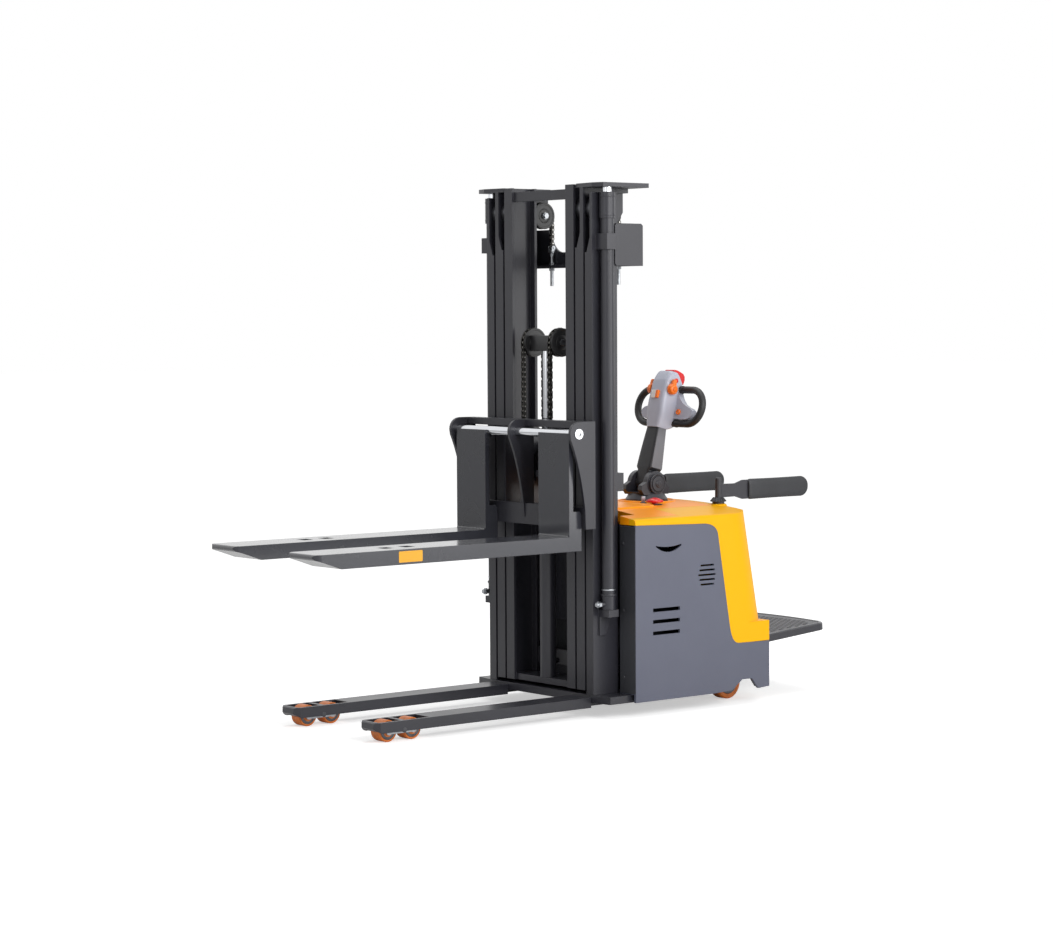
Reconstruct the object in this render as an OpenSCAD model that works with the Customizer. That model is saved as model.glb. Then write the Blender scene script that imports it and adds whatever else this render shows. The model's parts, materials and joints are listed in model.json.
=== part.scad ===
// Electric stacker: a pedestrian and ride-on pallet stacker with straddle legs under the forks
// and a three-stage mast. Millimetres, +Z up, forks towards -Y, +X to the driver's left.

/* [Forks] */
// Length of a fork from its load face to the tip
fork_length = 1150; // [950:10:1200]
// Width of one fork
fork_width = 180; // [176:2:190]
// Width over both forks
fork_spread = 684; // [680:2:700]
// Depth of a fork's side walls
fork_depth = 55; // [50:1:60]
// Plate thickness of a fork
fork_wall = 6; // [5:0.5:8]
// Height of the fork tops when fully lowered
lowered_height = 92; // [92:1:100]
// How far the forks stand above their lowest place
fork_raised = 604; // [400:2:640]
// Height of a fork's shank above the fork's top
shank_height = 388; // [360:2:400]
// Thickness of the shank plate
shank_thick = 20; // [16:1:22]

/* [Carriage] */
// Diameter of the chromed fork shaft
shaft_d = 32; // [28:1:34]
// Half width over the carriage's side plates
carriage_half = 369; // [366:1:380]
// Thickness of the carriage's side plates
side_plate = 12; // [8:1:14]
// Thickness of the two plates that carry the rollers
roller_plate = 12; // [8:1:12]

/* [Mast] */
// Height of the outer mast's top
outer_top = 1985; // [1900:5:2000]
// Height of the middle mast's top
mid_top = 2004; // [2004:1:2010]
// Height of the inner mast's top
inner_top = 2018; // [2018:1:2030]
// Depth of a mast channel, front to back
channel_depth = 125; // [125:1:126]
// Thickness of web and flanges
channel_wall = 12; // [10:0.5:12]
// Outer face of the inner channel's web, from the centre
inner_web_x = 201; // [200:1:202]
// Distance from one channel's web to the next
stage_pitch = 57; // [56:1:58]
// Reach of the flanges inwards from the web
flange_reach = 28; // [25:1:29]
// Outward lip of the moving channels
flange_lip = 7; // [5:1:7]
// Travel of the middle mast
mast_travel = 1300; // [1000:10:1300]

/* [Free lift] */
// Diameter of the free lift tube
free_tube_d = 64; // [60:1:66]
// Diameter of the free lift rod
free_rod_d = 34; // [30:1:40]
// Height of the free lift chain wheels' axle
head_z = 1420; // [1400:2:1440]
// Pitch of the lifting chains
chain_pitch = 19.05; // [15.875:0.025:19.05]
// Width over a chain's outer plates
chain_width = 16; // [12:1:16]
// Radius of the chain on its wheels
chain_r = 50; // [48:1:50]

/* [Side cylinders] */
// Distance of each side cylinder from the centre
side_cyl_x = 345; // [343:1:346]
// Diameter of the side cylinder tube
side_tube_d = 50; // [46:1:52]
// Diameter of the side cylinder rod
side_rod_d = 36; // [30:1:38]
// Height of the side cylinder's foot
side_foot_z = 412; // [380:2:420]

/* [Straddle legs] */
// Width of a leg
leg_width = 110; // [104:1:120]
// Height of a leg's top
leg_top = 77; // [74:1:77]
// Height of a leg's underside
leg_bottom = 38; // [34:1:42]
// Distance of the leg tips in front of the load face
leg_reach = 872; // [860:2:880]
// Diameter of a load roller
load_roller_d = 80; // [76:1:80]
// Width of a load roller
load_roller_w = 58; // [50:1:60]
// Distance between the two load rollers of a leg
bogie_pitch = 108; // [100:1:112]

/* [Body] */
// Half width of the body
body_half = 425; // [420:1:432]
// Thickness of the steel side panels
panel_wall = 10; // [6:1:12]
// Thickness of the moulded covers
cover_wall = 6; // [4:0.5:8]
// Height of the hood's crown
hood_top = 786; // [780:1:788]
// Underside of the chassis
chassis_bottom = 57; // [50:1:60]
// Back of the body
body_back = 957; // [950:1:965]

/* [Wheels] */
// Diameter of the drive wheel
drive_wheel_d = 230; // [220:1:236]
// Width of the drive wheel
drive_wheel_w = 75; // [60:1:80]
// Distance of the steering axis behind the load face
steer_y = 690; // [686:1:694]
// Diameter of a castor wheel
castor_d = 130; // [120:1:134]
// Width of a castor wheel
castor_w = 50; // [40:1:56]
// Distance of each castor from the centre
castor_x = 243; // [236:1:250]
// Distance of the castor swivels behind the load face
castor_y = 850; // [844:1:854]

/* [Tiller] */
// Height of the tiller's tilt axis
tilt_z = 854; // [850:1:858]
// Backward lean of the tiller at rest
tiller_lean = 14; // [10:1:16]
// Distance of the tiller head's foot from the tilt axis
column_length = 226; // [220:2:236]
// Half width over the two grips
grip_half = 204; // [196:1:208]
// Diameter of a grip's tube
grip_d = 29; // [26:1:30]

/* [Platform and arms] */
// Distance of the platform's rear edge behind the load face
platform_back = 1398; // [1360:2:1400]
// Half width of the platform at the hinge
platform_half = 335; // [320:1:340]
// Height of the platform's hinge
hinge_z = 240; // [236:1:244]
// Distance of each arm's post from the centre
arm_x = 247; // [240:1:252]
// Distance of the arm posts behind the load face
arm_y = 850; // [848:1:852]
// Diameter of an arm's post
post_d = 26; // [22:1:28]
// Length of an arm pad
pad_length = 333; // [320:1:345]
// Height of an arm pad
pad_height = 82; // [80:1:90]

/* [Hidden] */
$fn = 48;

// Clearances: a shaft in its hole, parts that pass each other, and flat seats
fit = 0.05;
gap = 0.3;
seat = 0.3;
// How far a welded end is let into its neighbour
weld = 2;

y_shift = -(platform_back - fork_length) / 2;

// Mast stages, each value for the +X channel
channel_front = 139;
channel_back = channel_front + channel_depth;
roller_y = channel_front + channel_depth / 2;
mast_roller_r = channel_depth / 2 - channel_wall - gap;
mid_web_x = inner_web_x + stage_pitch;
outer_web_x = mid_web_x + stage_pitch;
mast_roller_w = stage_pitch - channel_wall - 7;
mast_foot = 86;
stage_foot = 100;
notch_depth = 180;
top_roller_z = outer_top - 60;
foot_roller_z = 190;
axle_r = 12;

// Ties behind the channels, one layer for each stage
tie_wall = 10;
inner_tie_y = channel_back;
mid_tie_y = channel_back + 26;
outer_tie_y = mid_tie_y + tie_wall + 5;

// Chains
link_r = 0.39 * chain_pitch;
pulley_x = 200;
pulley_y = 325;
pulley_z = outer_top - 70;
pulley_r = 47;
head_x = 80;
head_y = 178;
head_width = chain_width + 8;
carriage_anchor_z = 812;
inner_anchor_z = 1040;
mast_anchor_z = 1790;
mast_front_anchor_z = 240;

// Carriage and forks
fork_x = (fork_spread - fork_width) / 2;
fork_z = lowered_height + fork_raised;
shank_top = fork_z + shank_height;
shaft_y = 25.5;
shaft_z = shank_top - 2.5;
carriage_top = shaft_z + 45.5;
carriage_foot = fork_z + 27;
roller_plate_x = 143;
carriage_roller_w = 22;
cross_back = 82;
upper_roller_z = 1050;
lower_roller_z = 800;
roller_plate_top = 1106;
roller_plate_foot = 745;

// Free lift
free_tube_top = 1076;
free_tube_foot = 124;
gland_h = 30;

// Legs
leg_joint = leg_reach - 274;
leg_wall = 12;
roller_axle_z = load_roller_d / 2;
bogie_y = 127 - leg_reach;
bogie_pin_r = 8;
bogie_plate = 6;

// Body
panel_front = 256;
mast_bay_half = 335;
bulkhead_y = 318;
hood_back = 505;
lid_half = body_half - 37;
tongue_half = 250;
crest_y = 813;
deck_z = 252;
base_r = 84;
deck_bore_r = 70;
panel_top = 730;
panel_in = body_half - panel_wall;

// Tiller, measured along its own column from the tilt axis
head_foot = column_length;
head_top = column_length + 232;
button_travel = 4;
throttle_y = -6;
grip_y = 50;

// Arms
post_top = 876;
collar_z = 778.3;
pad_bottom = 787;
pad_front = arm_y + 159;
pad_thick = 32;
socket_z = 690;

// Platform hinge, and how far the sprung platform stands up at rest
hinge_y = body_back + 8;
platform_rise = 4.5;

// Emergency stop and key on the lid
stop_x = 150;
stop_y = 600;
key_x = 105;
key_y = 580;

module place() {
    translate([0, y_shift, 0]) children();
}

module both_sides() {
    children();
    mirror([1, 0, 0]) children();
}

// A solid bar along X between two values of X
module x_rod(x0, x1, r) {
    translate([x0, 0, 0]) rotate([0, 90, 0]) cylinder(h = x1 - x0, r = r);
}

// A profile drawn in Y and Z, extruded along X from x0 to x1
module yz_plate(x0, x1) {
    translate([x0, 0, 0]) rotate([90, 0, 90]) linear_extrude(x1 - x0) children();
}

// A profile drawn in X and Z, extruded along Y from y0 to y1
module xz_plate(y0, y1) {
    translate([0, y1, 0]) rotate([90, 0, 0]) linear_extrude(y1 - y0) children();
}

// A box given by its two corners
module block(low, high) {
    translate(low) cube(high - low);
}

// Points of an arc, from angle a0 to a1
function arc(c, r, a0, a1, n = 8) =
    [for (i = [0:n]) let (a = a0 + (a1 - a0) * i / n) c + r * [cos(a), sin(a)]];

// Points of a quadratic curve that leaves a towards b and ends at c
function bow(a, b, c, n = 10) =
    [for (i = [0:n]) let (t = i / n) (1 - t) * (1 - t) * a + 2 * t * (1 - t) * b + t * t * c];

// One mast channel on the +X side, opening inwards, with an outward lip
module channel(web_x, lip, z0, z1) {
    inner = web_x - channel_wall;
    flange_w = channel_wall + flange_reach + lip;
    translate([0, 0, z0]) linear_extrude(z1 - z0) {
        translate([inner, channel_front]) square([channel_wall, channel_depth]);
        for (y = [channel_front, channel_back - channel_wall])
            translate([inner - flange_reach, y]) square([flange_w, channel_wall]);
    }
}

// The front flange is cut away on a slant near the top, where the roller shows
module flange_notch(web_x, lip, top) {
    x0 = web_x - channel_wall - flange_reach - 1;
    x1 = web_x - channel_wall;
    foot = top - notch_depth;
    xz_plate(channel_front - 1, channel_front + channel_wall)
        polygon([[x0, foot - 45], [x0 + 10, foot - 45], [x1, foot + 10], [x1, top + 1], [x0, top + 1]]);
}

module axle_stub(x0, x1, y, z, r) {
    translate([0, y, z]) x_rod(x0, x1, r);
}

module mast_roller(x0, w, z) {
    translate([0, roller_y, z]) difference() {
        union() {
            x_rod(x0, x0 + w, mast_roller_r);
            x_rod(x0 - 1.5, x0, mast_roller_r * 0.5);
        }
        x_rod(x0 - 3, x0 + w + 2, axle_r + fit);
        // The dished face round the bearing
        translate([x0 - 2, 0, 0]) rotate([0, 90, 0]) difference() {
            cylinder(h = 6, r = mast_roller_r * 0.82);
            translate([0, 0, -1]) cylinder(h = 8, r = mast_roller_r * 0.5);
        }
    }
}

// Link outlines along a row of pins: every link with narrow inner plates, every second one wide
module chain_links(pins, x) {
    count = len(pins) - 1;
    waist = link_r * 0.72;
    yz_plate(x - chain_width * 0.3, x + chain_width * 0.3) {
        for (i = [0:count]) translate(pins[i]) circle(r = link_r * 0.94, $fn = 24);
        for (i = [0:count - 1]) link_waist(pins[i], pins[i + 1], waist * 0.94);
    }
    yz_plate(x - chain_width / 2, x + chain_width / 2)
        for (i = [0:2:count - 1]) {
            translate(pins[i]) circle(r = link_r, $fn = 24);
            translate(pins[i + 1]) circle(r = link_r, $fn = 24);
            link_waist(pins[i], pins[i + 1], waist);
        }
}

module link_waist(a, b, w) {
    d = b - a;
    translate(a) rotate(atan2(d[1], d[0])) translate([0, -w]) square([norm(d), 2 * w]);
}

// Pins of a straight run that goes down from z_top to z_low, as whole links
function run_pins(y, z_top, z_low) =
    let (n = max(1, round((z_top - z_low) / chain_pitch)))
    [for (i = [0:n]) [y, z_top - (z_top - z_low) * i / n]];

// Pins of the half turn over a wheel
function wrap_pins(y, z, r) =
    let (n = max(4, floor(PI * r / chain_pitch)))
    [for (i = [0:n]) let (a = 180 - 180 * i / n) [y + r * cos(a), z + r * sin(a)]];

// Chain wheel with two flanges, a groove for the chain and a hub bore
module chain_wheel(x, y, z, r, bore, hub_to) {
    flange_r = r + link_r * 0.7;
    root_r = r - link_r - gap;
    half = head_width / 2;
    lane = chain_width / 2 + 1;
    translate([x, y, z]) rotate([0, 90, 0]) difference() {
        union() {
            translate([0, 0, -half]) cylinder(h = half - lane, r = flange_r);
            translate([0, 0, lane]) cylinder(h = half - lane, r = flange_r);
            translate([0, 0, -half]) cylinder(h = 2 * half, r = root_r);
            translate([0, 0, -half - hub_to]) cylinder(h = 2 * half + 2 * hub_to, r = bore + 9);
        }
        translate([0, 0, -half - hub_to - 1]) cylinder(h = 2 * half + 2 * hub_to + 2, r = bore);
    }
}

// Threaded anchor with an eye at its upper end and a nut on each side of its seat plate
module anchor_bolt(x, y, z_eye, z_seat, z_end, plate) {
    translate([x, y, z_end]) cylinder(h = z_eye - z_end - link_r, r = 7);
    for (z = [z_seat, z_seat - plate - 10]) translate([x, y, z]) cylinder(h = 10, r = 11, $fn = 6);
    translate([x, y, z_eye - 22 - link_r]) cylinder(h = 22, r = 9);
}

module chassis() place() color("dimgray") {
    rail_x = panel_in - 1;
    difference() {
        union() {
            // Bulkhead behind the mast, with its lightening windows
            difference() {
                block([-rail_x, bulkhead_y, chassis_bottom], [rail_x, bulkhead_y + 8, 722]);
                both_sides() block([60, bulkhead_y - 1, 180], [270, bulkhead_y + 9, 330]);
            }
            // Floor under the battery
            block([-rail_x, bulkhead_y, chassis_bottom], [rail_x, 562, chassis_bottom + 10]);
            // Deck over the wheels
            block([-rail_x, 562, deck_z - 12], [rail_x, body_back - 6, deck_z]);
            // Cross wall from the floor up to the deck
            block([-rail_x, 552, chassis_bottom], [rail_x, 562, deck_z]);
            // Rear wall with the platform's stop edge
            block([-rail_x, body_back - 16, 170], [rail_x, body_back - 6, deck_z]);
            both_sides() {
                // Side rails behind the panels
                yz_plate(rail_x - 8, rail_x)
                    polygon([[bulkhead_y, chassis_bottom], [655, chassis_bottom], [756, 64], [811, 104],
                        [863, 104], [893, 64], [body_back - 6, 64], [body_back - 6, deck_z], [bulkhead_y, deck_z]]);
                // Castor seats hang from the deck
                block([castor_x - 62, castor_y - 62, 176], [castor_x + 62, castor_y + 62, 186]);
                for (x = [castor_x - 62, castor_x + 54])
                    block([x, castor_y - 62, 176], [x + 8, castor_y + 62, deck_z]);
                // Hinge ears of the platform
                hinge_ear();
                // Posts that hold the covers and the arm sockets
                block([arm_x - 20, arm_y - 24, deck_z], [arm_x + 20, arm_y + 16, socket_z]);
            }
        }
        // Bearing bore of the drive unit
        translate([0, steer_y, deck_z - 20]) cylinder(h = 40, r = deck_bore_r + fit);
        // Castor swivel bores
        both_sides() translate([castor_x, castor_y, 170]) cylinder(h = 20, r = 12 + fit);
        // Arm post bores
        both_sides() translate([arm_x, arm_y, socket_z - 60]) cylinder(h = 80, r = post_d / 2 + fit);
    }
}

module hinge_ear() {
    yz_plate(platform_half - 22, platform_half - 12) {
        translate([body_back - 16, hinge_z - 22]) square([24, 34]);
        translate([hinge_y, hinge_z - 5]) circle(r = 17);
    }
    translate([0, hinge_y, hinge_z - 5]) x_rod(platform_half - 24, platform_half - 2, 6);
}

module straddle_legs() place() color("dimgray") {
    half = leg_width / 2;
    // Foot plate that lies on the legs and carries the mast
    translate([0, 0, chassis_bottom]) linear_extrude(mast_foot - chassis_bottom)
        polygon([[-300, 135], [300, 135], [body_half - 25, 150], [body_half - 25, bulkhead_y - seat],
            [25 - body_half, bulkhead_y - seat], [25 - body_half, 150]]);
    both_sides() translate([fork_x, 0, 0]) {
        difference() {
            union() {
                // Fabricated box from the mast foot to the end frame
                block([-half, -leg_joint, leg_bottom], [half, 134, leg_top]);
                block([-half + 6, 134, chassis_bottom - 12], [half - 6, 300, chassis_bottom - 0.3]);
                block([-half + 6, 128, leg_bottom], [half - 6, 134, chassis_bottom]);
                // End frame with its chamfered tip
                yz_plate(-half, half)
                    polygon([[-leg_joint, leg_bottom], [-leg_reach + 26, leg_bottom], [-leg_reach, leg_bottom + 16],
                        [-leg_reach + 2, leg_top - 4], [-leg_reach + 10, leg_top], [-leg_joint, leg_top]]);
            }
            // Hollow of the long box
            block([-half + leg_wall, -leg_joint + 8, leg_bottom + 5], [half - leg_wall, 120, leg_top - 6]);
            // Roller bay, open above and below
            block([-half + leg_wall, bogie_y - 108, leg_bottom - 1], [half - leg_wall, bogie_y + 118, leg_top + 1]);
            // Slanted corners of the tip
            for (side = [-1, 1]) translate([side * half, -leg_reach, 0])
                rotate([0, 0, 45]) block([-14, -14, 0], [14, 14, 100]);
        }
        // Crossbar between the two windows over the rollers
        block([-half + leg_wall, bogie_y - 9, leg_top - 6], [half - leg_wall, bogie_y + 9, leg_top]);
        // Pivot pin of the bogie
        translate([0, bogie_y, roller_axle_z + 2]) x_rod(-half + 4, half - 4, bogie_pin_r);
    }
}

module bogie(side) {
    arm_x0 = load_roller_w / 2 + 1;
    translate([side * fork_x, bogie_y, roller_axle_z]) {
        difference() {
            for (s = [-1, 1]) yz_plate(min(s * arm_x0, s * (arm_x0 + bogie_plate)),
                max(s * arm_x0, s * (arm_x0 + bogie_plate))) {
                for (y = [-bogie_pitch / 2, bogie_pitch / 2]) translate([y, 0]) circle(r = 14);
                translate([-bogie_pitch / 2, -11]) square([bogie_pitch, 24]);
            }
            translate([0, 0, 2]) x_rod(-60, 60, bogie_pin_r + fit);
        }
        for (y = [-bogie_pitch / 2, bogie_pitch / 2])
            translate([0, y, 0]) x_rod(-arm_x0 - bogie_plate, arm_x0 + bogie_plate, 7);
    }
}

module load_roller(side, row) {
    translate([side * fork_x, bogie_y + row * bogie_pitch / 2, roller_axle_z])
        rotate([0, 90, 0]) rotate_extrude() {
            w = load_roller_w / 2;
            r = load_roller_d / 2;
            polygon([[7 + fit, -w], [20, -w], [22, -w + 3], [r - 5, -w + 3], [r - 3, -w + 1], [r, -w + 5],
                [r, w - 5], [r - 3, w - 1], [r - 5, w - 3], [22, w - 3], [20, w], [7 + fit, w]]);
        }
}

module left_bogie() place() color("darkgray") bogie(1);
module right_bogie() place() color("darkgray") bogie(-1);
module left_front_load_roller() place() color("chocolate") load_roller(1, -1);
module left_rear_load_roller() place() color("chocolate") load_roller(1, 1);
module right_front_load_roller() place() color("chocolate") load_roller(-1, -1);
module right_rear_load_roller() place() color("chocolate") load_roller(-1, 1);

module outer_mast() place() color("dimgray") {
    web_in = outer_web_x - channel_wall;
    both_sides() {
        difference() {
            channel(outer_web_x, 0, mast_foot, outer_top);
            flange_notch(outer_web_x, 0, outer_top);
        }
        // Stub axle of the top roller
        axle_stub(mid_web_x + 2, web_in + weld, roller_y, top_roller_z, axle_r);
        // Blocks that hold the two lower ties off the channel
        for (z = [mast_foot + 6, 853])
            block([web_in - 26, channel_back - weld, z], [outer_web_x - 24, outer_tie_y + weld, z + 70]);
        // End plates of the upper tie
        yz_plate(outer_web_x - weld, outer_web_x + 6)
            polygon([[250, mast_anchor_z - 72], [250, 1862], [258, 1870], [382, 1870], [390, 1862], [390, mast_anchor_z - 80],
                [258, mast_anchor_z - 80]]);
        // Shelf and foot of the side cylinder
        block([outer_web_x - weld, 165, side_foot_z - 27], [side_cyl_x + 30, 215, side_foot_z]);
        yz_plate(outer_web_x - weld, outer_web_x + 8)
            polygon([[165, side_foot_z - 27], [215, side_foot_z - 27], [215, side_foot_z - 60], [195, side_foot_z - 100],
                [165, side_foot_z - 100]]);
        // Clamp round the upper end of the cylinder
        difference() {
            block([outer_web_x - weld, 160, 1770], [side_cyl_x + 34, 205, 1830]);
            translate([side_cyl_x, 190, 1760]) cylinder(h = 80, r = side_tube_d / 2 + seat / 2);
        }
    }
    for (z = [mast_foot + 6, 853])
        block([-outer_web_x + 24, outer_tie_y, z], [outer_web_x - 24, outer_tie_y + tie_wall, z + 70]);
    // Upper tie, cut to a U, with a bottom flange for the chain anchors
    tie_low = mast_anchor_z - 80;
    xz_plate(382, 390)
        polygon(concat([[-outer_web_x, tie_low], [outer_web_x, tie_low], [outer_web_x, 1862], [232, 1862]],
            bow([232, 1862], [200, 1775], [148, 1772]), bow([-148, 1772], [-200, 1775], [-232, 1862]),
            [[-outer_web_x, 1862]]));
    difference() {
        block([-outer_web_x, 350, mast_anchor_z - 80], [outer_web_x, 382, mast_anchor_z - 68]);
        both_sides() translate([pulley_x, pulley_y + pulley_r, mast_anchor_z - 90]) cylinder(h = 40, r = 7 + gap);
    }
}

module side_cylinder_tubes() place() color("dimgray") both_sides() translate([side_cyl_x, 190, 0]) {
    tube_r = side_tube_d / 2;
    rod_r = side_rod_d / 2;
    difference() {
        union() {
            translate([0, 0, side_foot_z]) cylinder(h = 53, r = tube_r + 1);
            translate([0, 0, side_foot_z + 53]) cylinder(h = 6, r = tube_r + 3);
            translate([0, 0, side_foot_z + 59]) cylinder(h = 1887 - side_foot_z - 59, r = tube_r);
            // Gland cap
            translate([0, 0, 1887]) cylinder(h = outer_top - 1887, r = tube_r + 4.5);
            // Oil port at the foot
            translate([0, -10, side_foot_z + 21]) rotate([90, 0, 0]) cylinder(h = 32, r = 9);
        }
        translate([0, 0, side_foot_z + 30]) cylinder(h = 1887 - side_foot_z - 30, r = rod_r + 3);
        translate([0, 0, 1880]) cylinder(h = outer_top - 1870, r = rod_r + fit);
    }
}

module side_cylinder_rods() place() color("silver") both_sides() translate([side_cyl_x, 190, 0]) {
    translate([0, 0, side_foot_z + 40]) cylinder(h = mid_top - side_foot_z - 40, r = side_rod_d / 2);
    translate([0, 0, side_foot_z + 40]) cylinder(h = 40, r = side_rod_d / 2 + 3 - fit);
}

module mast_chain_anchors() place() color("silver") both_sides()
    anchor_bolt(pulley_x, pulley_y + pulley_r, mast_anchor_z, mast_anchor_z - 68, 1640, 12);

module mid_mast() place() color("dimgray") {
    web_in = mid_web_x - channel_wall;
    both_sides() {
        difference() {
            channel(mid_web_x, flange_lip, stage_foot, mid_top + weld);
            flange_notch(mid_web_x, flange_lip, mid_top);
        }
        axle_stub(inner_web_x + 2, web_in + weld, roller_y, top_roller_z, axle_r);
        axle_stub(mid_web_x - weld, mid_web_x + 43, roller_y, foot_roller_z, axle_r);
        for (z = [stage_foot + 10, 700, 940])
            block([web_in - 26, channel_back - weld, z], [mid_web_x, mid_tie_y + weld, z + 60]);
        // Top plate over the side cylinder, and the pulley bracket below it
        translate([0, 0, mid_top]) linear_extrude(16) difference() {
            polygon([[web_in - flange_reach, 145], [side_cyl_x - 20, 131], [side_cyl_x + 30, 145],
                [side_cyl_x + 30, 372], [side_cyl_x + 20, 382], [web_in - flange_reach, 382]]);
            translate([side_cyl_x, 190]) circle(r = 6);
        }
        yz_plate(web_in - flange_reach, web_in - flange_reach + 12)
            polygon([[channel_back - weld, mid_top + weld], [pulley_y + 44, mid_top + weld], [pulley_y + 44, pulley_z],
                [pulley_y + 20, pulley_z - 35], [channel_back - weld, pulley_z - 35]]);
        axle_stub(pulley_x - head_width / 2 - 6, web_in - flange_reach + weld, pulley_y, pulley_z, axle_r);
    }
    for (z = [stage_foot + 10, 700, 940])
        block([-mid_web_x, mid_tie_y, z], [mid_web_x, mid_tie_y + tie_wall, z + 60]);
    // Top tie behind the inner mast
    block([-web_in, 300, mid_top - 16], [web_in, 382, mid_top]);
}

module mast_pulleys() place() color("dimgray")
    both_sides() chain_wheel(pulley_x, pulley_y, pulley_z, pulley_r, axle_r + fit, 1);

module mast_chain_rear() place() color("gray") both_sides() {
    chain_links(run_pins(pulley_y + pulley_r, pulley_z - 2 * link_r - gap, mast_anchor_z), pulley_x);
    chain_links(wrap_pins(pulley_y, pulley_z, pulley_r), pulley_x);
}

module mast_chain_front() place() color("gray") both_sides()
    chain_links(run_pins(pulley_y - pulley_r, pulley_z - 2 * link_r - gap, mast_front_anchor_z + link_r + gap), pulley_x);

module outer_top_rollers() place() color("silver")
    both_sides() mast_roller(mid_web_x + 4.5, mast_roller_w, top_roller_z);

module mid_lower_rollers() place() color("silver")
    both_sides() mast_roller(mid_web_x + 4.5, mast_roller_w, foot_roller_z);

module mid_top_rollers() place() color("silver")
    both_sides() mast_roller(inner_web_x + 4.5, mast_roller_w, top_roller_z);

module inner_lower_rollers() place() color("silver")
    both_sides() mast_roller(inner_web_x + 4.5, mast_roller_w, foot_roller_z);

module inner_mast() place() color("dimgray") {
    web_in = inner_web_x - channel_wall;
    tip = web_in - flange_reach;
    both_sides() {
        channel(inner_web_x, flange_lip, stage_foot, inner_top);
        axle_stub(inner_web_x - weld, inner_web_x + 43, roller_y, foot_roller_z, axle_r);
        // Foot of the front chain run behind the channel
        block([tip + 20, channel_back - weld, mast_front_anchor_z - 40], [pulley_x + 10, mid_tie_y - 4, mast_front_anchor_z]);
        // Bracket that carries the rear run of the carriage chain
        block([head_x - 12, head_y + chain_r - 12, inner_anchor_z - 60],
            [head_x + 12, channel_back + tie_wall, inner_anchor_z - 40]);
        anchor_bolt(head_x, head_y + chain_r, inner_anchor_z, inner_anchor_z - 40, inner_anchor_z - 90, 20);
    }
    // Ties behind the channels
    for (z = [stage_foot + 60, inner_anchor_z - 70])
        block([-inner_web_x + 14, inner_tie_y - weld, z], [inner_web_x - 14, inner_tie_y + tie_wall, z + 60]);
    // Head bar across the front and the foot plate under the free lift cylinder
    block([-web_in - weld, 150, inner_top - 54], [web_in + weld, 166, inner_top - 16]);
    block([-web_in - weld, channel_front + 11, stage_foot], [web_in + weld, channel_back, free_tube_foot]);
    // Yoke that steadies the free lift tube
    difference() {
        block([-45, head_y - 20, 900], [45, channel_back + tie_wall, 925]);
        translate([0, head_y, 890]) cylinder(h = 50, r = free_tube_d / 2 + seat / 2);
    }
    block([-inner_web_x + 14, inner_tie_y - weld, 882], [inner_web_x - 14, inner_tie_y + tie_wall, 942]);
}

module free_lift_tube() place() color("dimgray") translate([0, head_y, 0]) difference() {
    union() {
        translate([0, 0, free_tube_foot]) cylinder(h = free_tube_top - free_tube_foot - gland_h, r = free_tube_d / 2);
        translate([0, 0, free_tube_top - gland_h]) cylinder(h = gland_h, r = free_tube_d / 2 + 3);
        translate([0, 50, free_tube_foot + 60]) rotate([90, 0, 0]) cylinder(h = 30, r = 10);
    }
    translate([0, 0, free_tube_foot + 16]) cylinder(h = free_tube_top - free_tube_foot - 16 - gland_h, r = free_tube_d / 2 - 7);
    translate([0, 0, free_tube_top - gland_h - 1]) cylinder(h = gland_h + 2, r = free_rod_d / 2 + fit);
}

module free_lift_rod() place() color("silver") translate([0, head_y, 0]) {
    rod_foot = free_tube_foot + 20 + fork_raised / 2;
    translate([0, 0, rod_foot]) cylinder(h = head_z - 30 - rod_foot, r = free_rod_d / 2);
    translate([0, 0, rod_foot]) cylinder(h = 40, r = free_tube_d / 2 - 7 - fit);
    // Crosshead block with its two stub axles
    block([-head_x + head_width / 2 + 3, -26, head_z - 32], [head_x - head_width / 2 - 3, 26, head_z + 26]);
    translate([0, 0, head_z]) x_rod(-head_x - head_width / 2 - 5, head_x + head_width / 2 + 5, axle_r);
}

module crosshead_wheels() place() color("dimgray")
    both_sides() chain_wheel(head_x, head_y, head_z, chain_r, axle_r + fit, 1);

module carriage_chain_rear() place() color("gray") both_sides() {
    chain_links(wrap_pins(head_y, head_z, chain_r), head_x);
    chain_links(run_pins(head_y + chain_r, head_z - 2 * link_r - gap, inner_anchor_z), head_x);
}

module carriage_chain_front() place() color("gray") both_sides()
    chain_links(run_pins(head_y - chain_r, head_z - 2 * link_r - gap, carriage_anchor_z), head_x);

// Side view of a carriage side plate: a round nose at the shaft over a curved front edge
function carriage_profile(foot) = concat(
    arc([shaft_y + 4, shaft_z], 45, 90, 186, 10),
    bow([-12, shaft_z - 22], [34, 960], [56, 798]),
    [[59, foot], [107, foot], [107, carriage_top], [shaft_y + 4, carriage_top]]);

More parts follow.
